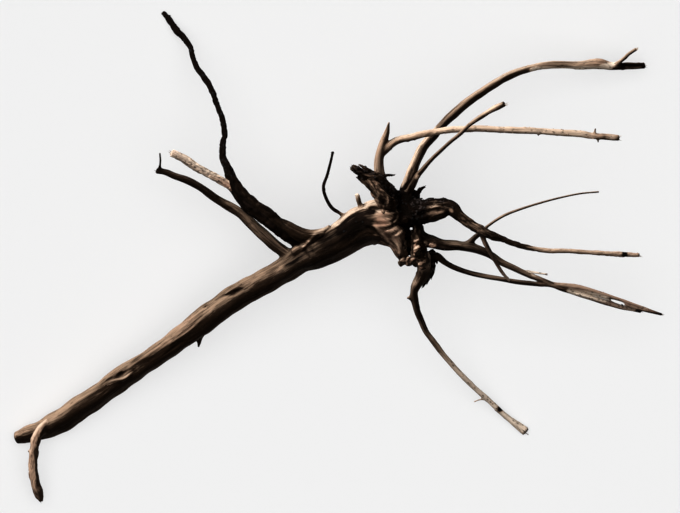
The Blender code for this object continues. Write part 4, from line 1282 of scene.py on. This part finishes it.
def wood_material():
    """Weathered wood, from black bark to cream, with painted light and shade."""
    material, tree, shader = new_material("driftwood_finish")
    grain = add(tree, "ShaderNodeAttribute", attribute_name="grain").outputs["Vector"]
    pale, warm, barky = stored(tree, "tone")
    lit_side, hollow, wear_and_highlight = stored(tree, "weather_and_light")
    wood = feed(tree, add(tree, "ShaderNodeGroup", node_tree=WOOD_GRAIN),
                Grain=grain, Fineness=1.0, Check_Width=0.018)
    streak, band, check = (wood.outputs[key] for key in ("Streak", "Band", "Check"))
    uneven = minus(tree, band, 0.5)

    # Painted light and shade: the side facing the key light gets the bare colour, the rest the shaded one. The
    # paler the limb, the further round it the painted light reaches; the streaks break it up
    shade_line = remap(tree, pale, 0.0, 0.75, 0.75, -0.12)
    bleach_and_light = plus(tree, times(tree, minus(tree, lit_side, shade_line), 2.8),
                  times(tree, minus(tree, streak, 0.5), 0.8))
    bleach_and_light = plus(tree, bleach_and_light, times(tree, uneven, 0.8), clamp=True)
    bare = mix(tree, times(tree, pale, 2.2, clamp=True), GREY_WOOD, TAN_WOOD)
    streaky = remap(tree, streak, 0.0, 0.55, 0.45, 1.0)
    cream = times(tree, remap(tree, pale, 0.35, 0.9), streaky, clamp=True)
    bare = mix(tree, cream, bare, CREAM_WOOD)
    pink = times(tree, warm, remap(tree, band, 0.15, 0.85, 0.35, 0.9), clamp=True)
    bare = mix(tree, pink, bare, PINK_WOOD)
    # Painted highlight: the edge that faces the key light most is brighter still, unless the limb is dark
    edge = times(tree, remap(tree, lit_side, 0.80, 0.97), remap(tree, pale, 0.04, 0.14, 0.0, 0.35))
    bare = mix(tree, edge, bare, CREAM_WOOD)
    # Painted shade on the side away from the key light: dark, a lighter brown where it faces furthest away,
    # and a mid brown on a pale limb
    shade = mix(tree, remap(tree, lit_side, 0.36, 0.08), DARK_WOOD, UNDER_WOOD)
    shade = mix(tree, remap(tree, pale, 0.15, 0.5), shade, SHADE_WOOD)
    colour = mix(tree, bleach_and_light, shade, bare)
    # Bark, with dust and painted highlight on its ridges
    dust_and_sheen = times(tree, times(tree, wear_and_highlight, 0.8), remap(tree, barky, 1.0, 1.6, 1.0, 0.0), clamp=True)
    bark_dust_and_sheen = mix(tree, dust_and_sheen, BLACK_BARK, BARK_DUST_AND_SHEEN)
    patch = remap(tree, plus(tree, barky, times(tree, uneven, 0.55)), 0.25, 0.65)
    colour = mix(tree, patch, colour, bark_dust_and_sheen)
    # Worn and raised edges brighten, partly wear and partly painted highlight; hollows and checks darken,
    # partly dirt and partly painted shade
    bright = times(tree, bleach_and_light, minus(tree, 1.0, patch))
    bright = times(tree, times(tree, wear_and_highlight, 0.22), bright, clamp=True)
    colour = mix(tree, bright, colour, TAN_WOOD)
    specks = feed(tree, add(tree, "ShaderNodeGroup", node_tree=DIRT_SPECKS),
                  Grain=grain, Size=0.36, Amount=0.5).outputs["Speck"]
    speck = times(tree, specks, remap(tree, pale, 0.35, 0.55, 0.1, 0.75))
    in_checks = times(tree, check, remap(tree, pale, 0.15, 0.5, 0.8, 0.4))
    in_hollows = times(tree, hollow, remap(tree, pale, 0.15, 1.0, 1.0, 0.1))
    dirt_and_shade = maths(tree, "MAXIMUM", in_checks, maths(tree, "MAXIMUM", in_hollows, speck))
    colour = mix(tree, times(tree, dirt_and_shade, 0.92, clamp=True), colour, DIRT_AND_SHADE)

    rough = remap(tree, streak, 0.0, 1.0, 0.62, 0.84)
    height = minus(tree, wood.outputs["Height"], times(tree, specks, 0.5))
    bump = feed(tree, add(tree, "ShaderNodeBump"), Strength=0.8, Distance=0.0006, Height=height)
    rough = plus(tree, rough, times(tree, patch, 0.1), clamp=True)
    feed(tree, shader, Base_Color=colour, Roughness=rough,
         Specular_IOR_Level=remap(tree, patch, 0.0, 1.0, 0.14, 0.04),
         Specular_Tint=(1.0, 0.70, 0.48, 1), Normal=bump.outputs["Normal"])
    return material


wood_finish = wood_material()
WOOD_PIECES = [trunk, bark]
for piece in WOOD_PIECES:
    piece.data.materials.clear()
    piece.data.materials.append(wood_finish)
print("finish", wood_finish.name, len(wood_finish.node_tree.nodes), "nodes")

# %% [markdown]
# ## Crumbs, buds and fibres
#
# Three small things repeat over the whole piece: crumbs of old bark, little buds on the
# roots, and fibres that have lifted or frayed. Nobody would place hundreds by hand, so
# Geometry Nodes scatter them, with a fixed seed, where the stored tone says they belong.

# %% Helpers for geometry trees
def geometry_tree(name, inputs):
    """A geometry tree with named inputs (name: kind, value), and one for the material."""
    tree = bpy.data.node_groups.new(name, "GeometryNodeTree")
    tree.interface.new_socket("Geometry", in_out="INPUT", socket_type="NodeSocketGeometry")
    for key, (kind, value) in inputs.items():
        socket = tree.interface.new_socket(key, in_out="INPUT", socket_type=kind)
        socket.default_value = value
    tree.interface.new_socket("Material", in_out="INPUT", socket_type="NodeSocketMaterial")
    tree.interface.new_socket("Geometry", in_out="OUTPUT", socket_type="NodeSocketGeometry")
    return tree, add(tree, "NodeGroupInput").outputs, add(tree, "NodeGroupOutput")


def random_number(tree, low, high, seed):
    """A random number for each point."""
    node = add(tree, "FunctionNodeRandomValue", data_type="FLOAT")
    feed(tree, node, i2=low, i3=high, Seed=seed)
    return node.outputs[1]


def random_vector(tree, reach, seed):
    """A random vector for each point, with each axis from minus reach to reach."""
    node = add(tree, "FunctionNodeRandomValue", data_type="FLOAT_VECTOR")
    feed(tree, node, i0=(-reach, -reach, -reach), i1=(reach, reach, reach), Seed=seed)
    return node.outputs[0]


def combine(tree, x, y, z):
    """A vector from three numbers."""
    return feed(tree, add(tree, "ShaderNodeCombineXYZ"), X=x, Y=y, Z=z).outputs[0]


def kept(tree, key, kind="FLOAT_VECTOR"):
    """A value that the mesh has stored in its points."""
    node = add(tree, "GeometryNodeInputNamedAttribute", data_type=kind)
    return feed(tree, node, Name=key).outputs["Attribute"]


def moved(tree, geometry, offset):
    """The geometry with each point moved by an offset."""
    return feed(tree, add(tree, "GeometryNodeSetPosition"), Geometry=geometry, Offset=offset).outputs[0]


def wobbled(tree, geometry, scale, detail, reach):
    """The geometry with its points moved by smooth noise."""
    noise = add(tree, "ShaderNodeTexNoise", noise_dimensions="3D")
    spot = add(tree, "GeometryNodeInputPosition").outputs[0]
    feed(tree, noise, Vector=spot, Scale=scale, Detail=detail)
    middle = add(tree, "ShaderNodeVectorMath", operation="SUBTRACT")
    feed(tree, middle, i0=noise.outputs["Color"], i1=(0.5, 0.5, 0.5))
    return moved(tree, geometry, resized(tree, middle.outputs[0], reach))


def paint(tree, geometry, material, out):
    """Gives the geometry its material, and sends it out."""
    painted = feed(tree, add(tree, "GeometryNodeSetMaterial"), Geometry=geometry, Material=material)
    feed(tree, out, Geometry=painted.outputs[0])


def grow_on(name, mesh, tree, **values):
    """Runs a geometry tree on a copy of a mesh, and keeps the result as a plain mesh piece."""
    thing = bpy.data.objects.new(name, mesh.copy())
    bpy.context.scene.collection.objects.link(thing)
    modifier = thing.modifiers.new(name, "NODES")
    modifier.node_group = tree
    for item in tree.interface.items_tree:
        key = item.name.replace(" ", "_")
        if item.in_out == "INPUT" and key in values:
            modifier[item.identifier] = values[key]
    plain_result(thing)
    print(name, len(thing.data.polygons), "faces")
    return thing


# %% Plain finishes for the small pieces
# name: dark, light, scale of the noise, roughness, strength of the bump
FINISHES = {
    "bark_crumb": ((0.004, 0.0026, 0.002, 1), (0.024, 0.015, 0.012, 1), 260, 0.9, 0.5),
    "heart_crumb": ((0.0010, 0.0007, 0.0006, 1), (0.0035, 0.0024, 0.0020, 1), 260, 0.95, 0.4),
    "root_bud": ((0.09, 0.055, 0.036, 1), (0.50, 0.36, 0.26, 1), 120, 0.75, 0.3),
    "dry_fibre": ((0.10, 0.062, 0.040, 1), (0.52, 0.39, 0.28, 1), 90, 0.8, 0.2),
    "dark_fibre": ((0.006, 0.004, 0.003, 1), (0.05, 0.033, 0.024, 1), 90, 0.85, 0.2),
}


def plain_finish(name, dark, light, scale, roughness, strength):
    """A small finish that varies from dark to light by noise on Object coordinates."""
    material, tree, shader = new_material(name)
    place = add(tree, "ShaderNodeTexCoord").outputs["Object"]
    share = remap(tree, noise_at(tree, place, scale, 3, 0.6), 0.35, 0.65)
    grit = feed(tree, add(tree, "ShaderNodeBump"), Strength=strength, Distance=0.0003,
                Height=noise_at(tree, place, scale * 6, 2, 0.6))
    feed(tree, shader, Base_Color=mix(tree, share, dark, light), Roughness=roughness,
         Specular_IOR_Level=0.25, Normal=grit.outputs["Normal"])
    return material


finishes = {name: plain_finish(name, *look) for name, look in FINISHES.items()}
print("finishes", list(finishes))

# %% Crumbs and buds: small lumps scattered where a tone is strong
# A lump is this much longer than wide, and turned at random about its own upright
LUMP_STRETCH = 1.35
FULL_TURN = 6.28
SPIN_SEED = 7
ROUGH_SCALE = 900.0


def lump_tree():
    """Uneven little lumps on the faces where the chosen tone is over a limit."""
    tree, ask, out = geometry_tree("scattered_lumps", {
        "Density": ("NodeSocketFloat", 1000.0), "Smallest": ("NodeSocketFloat", 0.0005),
        "Largest": ("NodeSocketFloat", 0.001), "Flatness": ("NodeSocketFloat", 0.5),
        "Tone Axis": ("NodeSocketVector", (0.0, 0.0, 1.0)), "Tone Limit": ("NodeSocketFloat", 0.5),
        "Unevenness": ("NodeSocketFloat", 0.0004), "Seed": ("NodeSocketInt", 1),
    })
    strength = add(tree, "ShaderNodeVectorMath", operation="DOT_PRODUCT")
    feed(tree, strength, i0=kept(tree, "tone"), i1=ask["Tone Axis"])
    there = maths(tree, "GREATER_THAN", strength.outputs["Value"], ask["Tone Limit"])
    scatter = add(tree, "GeometryNodeDistributePointsOnFaces")
    density = times(tree, ask["Density"], there)
    feed(tree, scatter, Mesh=ask["Geometry"], Density=density, Seed=ask["Seed"])
    lump = feed(tree, add(tree, "GeometryNodeMeshIcoSphere"), Radius=1.0, Subdivisions=1)
    size = random_number(tree, ask["Smallest"], ask["Largest"], ask["Seed"])
    scale = combine(tree, times(tree, size, LUMP_STRETCH), size, times(tree, size, ask["Flatness"]))
    spin = combine(tree, 0.0, 0.0, random_number(tree, 0.0, FULL_TURN, SPIN_SEED))
    turned = add(tree, "FunctionNodeRotateRotation", rotation_space="LOCAL")
    feed(tree, turned, Rotation=scatter.outputs["Rotation"], i1=spin)
    placed = feed(tree, add(tree, "GeometryNodeInstanceOnPoints"), Points=scatter.outputs["Points"],
                  Instance=lump.outputs["Mesh"], Rotation=turned.outputs[0], Scale=scale)
    real = feed(tree, add(tree, "GeometryNodeRealizeInstances"), Geometry=placed.outputs[0])
    rough = wobbled(tree, real.outputs[0], ROUGH_SCALE, 1.0, ask["Unevenness"])
    paint(tree, rough, ask["Material"], out)
    return tree


LUMPS = lump_tree()
crumbs = grow_on("bark_crumbs", bark.data, LUMPS, Density=70000.0, Smallest=0.0005, Largest=0.0015,
                 Flatness=0.35, Unevenness=0.0018, Tone_Limit=0.3, Seed=4,
                 Material=finishes["bark_crumb"])
heart_crumbs = grow_on("heart_crumbs", trunk.data, LUMPS, Density=26000.0, Smallest=0.0004,
                       Largest=0.0012, Flatness=0.4, Unevenness=0.0018, Tone_Limit=0.75, Seed=9,
                       Material=finishes["heart_crumb"])
buds = grow_on("root_buds", trunk.data, LUMPS, Density=9000.0, Smallest=0.0004, Largest=0.0010,
               Flatness=0.55, Unevenness=0.0010, Tone_Axis=(1.0, 0.0, 0.0), Tone_Limit=0.42, Seed=21,
               Material=finishes["root_bud"])

# %% Fibres: thin tapering strands from seed points
# On each axis a strand starts within this many bundle radii of its point
APART, APART_SEED, SPLAY_SEED = 0.7, 3, 5
STRAND_POINTS, STRAND_SIDES = 5, 5
# A strand's thickness falls along it from this, so its tip is almost sharp
ROOT_SHARE = 1.06
# The noise that bends the strands: its scale, and how far it moves them in metres
BEND_SCALE, BEND_REACH = 220.0, 0.0022
# A strand starts this many millimetres inside the end of its limb
ROOTED = 0.4


def strand_tree():
    """Tapering strands from points, each along the vector that its point has stored."""
    tree, ask, out = geometry_tree("strands", {
        "Strands": ("NodeSocketInt", 8), "Shortest": ("NodeSocketFloat", 0.002),
        "Longest": ("NodeSocketFloat", 0.006), "Thickness": ("NodeSocketFloat", 0.0003),
        "Splay": ("NodeSocketFloat", 0.25), "Seed": ("NodeSocketInt", 1),
    })
    points = feed(tree, add(tree, "GeometryNodeMeshToPoints"), Mesh=ask["Geometry"])
    many = add(tree, "GeometryNodeDuplicateElements", domain="POINT")
    feed(tree, many, Geometry=points.outputs[0], Amount=ask["Strands"])
    offset = resized(tree, random_vector(tree, APART, APART_SEED), kept(tree, "bundle", "FLOAT"))
    apart = moved(tree, many.outputs[0], offset)
    splay = resized(tree, random_vector(tree, 1.0, SPLAY_SEED), ask["Splay"])
    way = feed(tree, add(tree, "ShaderNodeVectorMath", operation="ADD"), i0=kept(tree, "way"), i1=splay)
    turned = add(tree, "FunctionNodeAlignRotationToVector", axis="Z")
    feed(tree, turned, Vector=way.outputs[0])
    line = feed(tree, add(tree, "GeometryNodeCurvePrimitiveLine"), Start=(0, 0, 0), End=(0, 0, 1))
    fine = feed(tree, add(tree, "GeometryNodeResampleCurve"), Curve=line.outputs[0], Count=STRAND_POINTS)
    length = random_number(tree, ask["Shortest"], ask["Longest"], ask["Seed"])
    placed = feed(tree, add(tree, "GeometryNodeInstanceOnPoints"), Points=apart, Instance=fine.outputs[0],
                  Rotation=turned.outputs[0], Scale=combine(tree, length, length, length))
    real = feed(tree, add(tree, "GeometryNodeRealizeInstances"), Geometry=placed.outputs[0])
    share = add(tree, "GeometryNodeSplineParameter").outputs["Factor"]
    thin = times(tree, minus(tree, ROOT_SHARE, share), ask["Thickness"])
    ring = feed(tree, add(tree, "GeometryNodeCurvePrimitiveCircle"), Resolution=STRAND_SIDES, Radius=1.0)
    swept = feed(tree, add(tree, "GeometryNodeCurveToMesh"), Curve=real.outputs[0],
                 Profile_Curve=ring.outputs[0], Scale=thin, Fill_Caps=True)
    bent = wobbled(tree, swept.outputs[0], BEND_SCALE, 0.0, BEND_REACH)
    paint(tree, bent, ask["Material"], out)
    return tree


def end_of(points):
    """The end of a limb as a seed: place, way and radius in millimetres."""
    last, before = np.array(points[-1], float), np.array(points[-2], float)
    way = last[:3] - before[:3]
    way /= np.linalg.norm(way)
    return tuple(last[:3] - ROOTED * way), tuple(way), last[3]


def seed_points(name, rows):
    """A mesh of loose points from the ends of limbs, each with its way and its bundle radius."""
    places, ways, radii = zip(*(end_of(row) for row in rows))
    mesh = bpy.data.meshes.new(name)
    mesh.from_pydata([tuple(np.array(place) * MM) for place in places], [], [])
    way = mesh.attributes.new("way", "FLOAT_VECTOR", "POINT")
    way.data.foreach_set("vector", np.array(ways, np.float32).ravel())
    bundle = mesh.attributes.new("bundle", "FLOAT", "POINT")
    bundle.data.foreach_set("value", np.array([radius * MM for radius in radii], np.float32))
    return mesh


STRANDS = strand_tree()
PALE_ENDS = [LOW_ROOT, LOW_ROOT_TWIG, HORN_ROOT, HIGH_ROOT, ARM_ROOT, MIDDLE_ROOT, LOWER_ROOT,
             LEG_ROOT, SPLINTER, PALE_STUB]
DARK_ENDS = BARK_RIDGES[:2] + [SHORT_BRANCH, HOOKED_STUB] + BARK_SPIKES
pale_fibres = grow_on("frayed_ends", seed_points("pale_ends", PALE_ENDS), STRANDS, Strands=12,
                      Shortest=0.0012, Longest=0.0040, Thickness=0.00028, Splay=0.22, Seed=11,
                      Material=finishes["dry_fibre"])
dark_fibres = grow_on("bark_fibres", seed_points("dark_ends", DARK_ENDS), STRANDS, Strands=6,
                      Shortest=0.0010, Longest=0.0030, Thickness=0.00035, Splay=0.22, Seed=12,
                      Material=finishes["dark_fibre"])
WOOD_PIECES += [crumbs, heart_crumbs, buds, pale_fibres, dark_fibres]

# %% [markdown]
# ## The floor, the light and the camera
#
# The piece lies on a plain pale floor. A long soft light comes in low from the upper left,
# as in the photograph, so that the open side of each limb is bright and the rest falls
# into shade. The floor has its own soft light from above, so it stays even.

# %% A plain floor
FLOOR_HALF = 20.0
PAPER = (0.80, 0.80, 0.80, 1)


def make_floor():
    """A wide flat sheet under the piece."""
    mesh = bpy.data.meshes.new("floor")
    h = FLOOR_HALF
    mesh.from_pydata([(-h, -h, 0), (h, -h, 0), (h, h, 0), (-h, h, 0)], [], [(0, 1, 2, 3)])
    thing = bpy.data.objects.new("floor", mesh)
    bpy.context.scene.collection.objects.link(thing)
    material, tree, shader = new_material("floor_paper")
    feed(tree, shader, Base_Color=PAPER, Roughness=0.95, Specular_IOR_Level=0.0)
    mesh.materials.append(material)
    return thing


floor = make_floor()
floor.visible_diffuse = False

# %% The lights
def soft_light(name, place, aim, size, power, only=()):
    """A square area light that looks at a point, and lights only the given objects."""
    data = bpy.data.lights.new(name, "AREA")
    data.shape = "SQUARE"
    data.size = size
    data.energy = power
    thing = bpy.data.objects.new(name, data)
    thing.location = place
    thing.rotation_euler = (Vector(aim) - Vector(place)).to_track_quat("-Z", "Y").to_euler()
    thing.visible_camera = False
    bpy.context.scene.collection.objects.link(thing)
    if only:
        lit = bpy.data.collections.new(name + "_lights")
        for each in only:
            lit.objects.link(each)
        thing.light_linking.receiver_collection = lit
    return thing


CENTRE = (0.0, 0.0, 0.06)
KEY_FROM, KEY_SIZE, KEY_POWER = (-1.7, 2.15, 1.3), 1.2, 235
FILL_FROM, FILL_SIZE, FILL_POWER = (-0.6, 0.5, 3.2), 2.0, 72
ABOVE, ABOVE_SIZE, ABOVE_POWER = (0, 0, 6.0), 12.0, 920.0
# The share of the light from above that the wood can shade
SHADE_SHARE = 0.05
soft_light("key_light", KEY_FROM, CENTRE, KEY_SIZE, KEY_POWER, only=WOOD_PIECES)
soft_light("fill_light", FILL_FROM, CENTRE, FILL_SIZE, FILL_POWER, only=WOOD_PIECES)
even_power, shade_power = ABOVE_POWER * (1 - SHADE_SHARE), ABOVE_POWER * SHADE_SHARE
even = soft_light("even_light", ABOVE, CENTRE, ABOVE_SIZE, even_power, only=(floor,))
even.light_linking.blocker_collection = even.light_linking.receiver_collection
soft_light("overhead_light", ABOVE, CENTRE, ABOVE_SIZE, shade_power, only=(floor,))
world = bpy.data.worlds.new("pale_room")
bpy.context.scene.world = world
world.use_nodes = True
world.node_tree.nodes["Background"].inputs["Color"].default_value = (0.895, 0.895, 0.895, 1)
world.cycles_visibility.diffuse = False
world.cycles_visibility.glossy = False
view = bpy.context.scene.view_settings
view.view_transform = "Standard"
view.gamma = 0.80

# %% The camera, straight above, far away with a long lens
# The middle of the photo, and the height over the middle of the wood
PHOTO_MIDDLE = (0.002, -0.0005)
CAMERA_RISE = 8.0
PHOTO_WIDTH = 0.680
SENSOR = 36.0
camera_data = bpy.data.cameras.new("camera")
camera_data.sensor_width = SENSOR
camera_data.lens = SENSOR * CAMERA_RISE / PHOTO_WIDTH
camera_data.clip_end = 100.0
camera = bpy.data.objects.new("camera", camera_data)
camera.location = (*PHOTO_MIDDLE, CAMERA_RISE + CENTRE[2])
bpy.context.scene.collection.objects.link(camera)
bpy.context.scene.camera = camera
print("lens", round(camera_data.lens, 1))

# %% [markdown]
# ## Hand the pieces to the frame
#
# The finer wood takes the place of the CAD node and rides on the same body.

# %% Tie the pieces to the part
for piece in WOOD_PIECES:
    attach(piece, "root")
    print(piece.name, "triangles", sum(len(f.vertices) - 2 for f in piece.data.polygons))

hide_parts("driftwood")
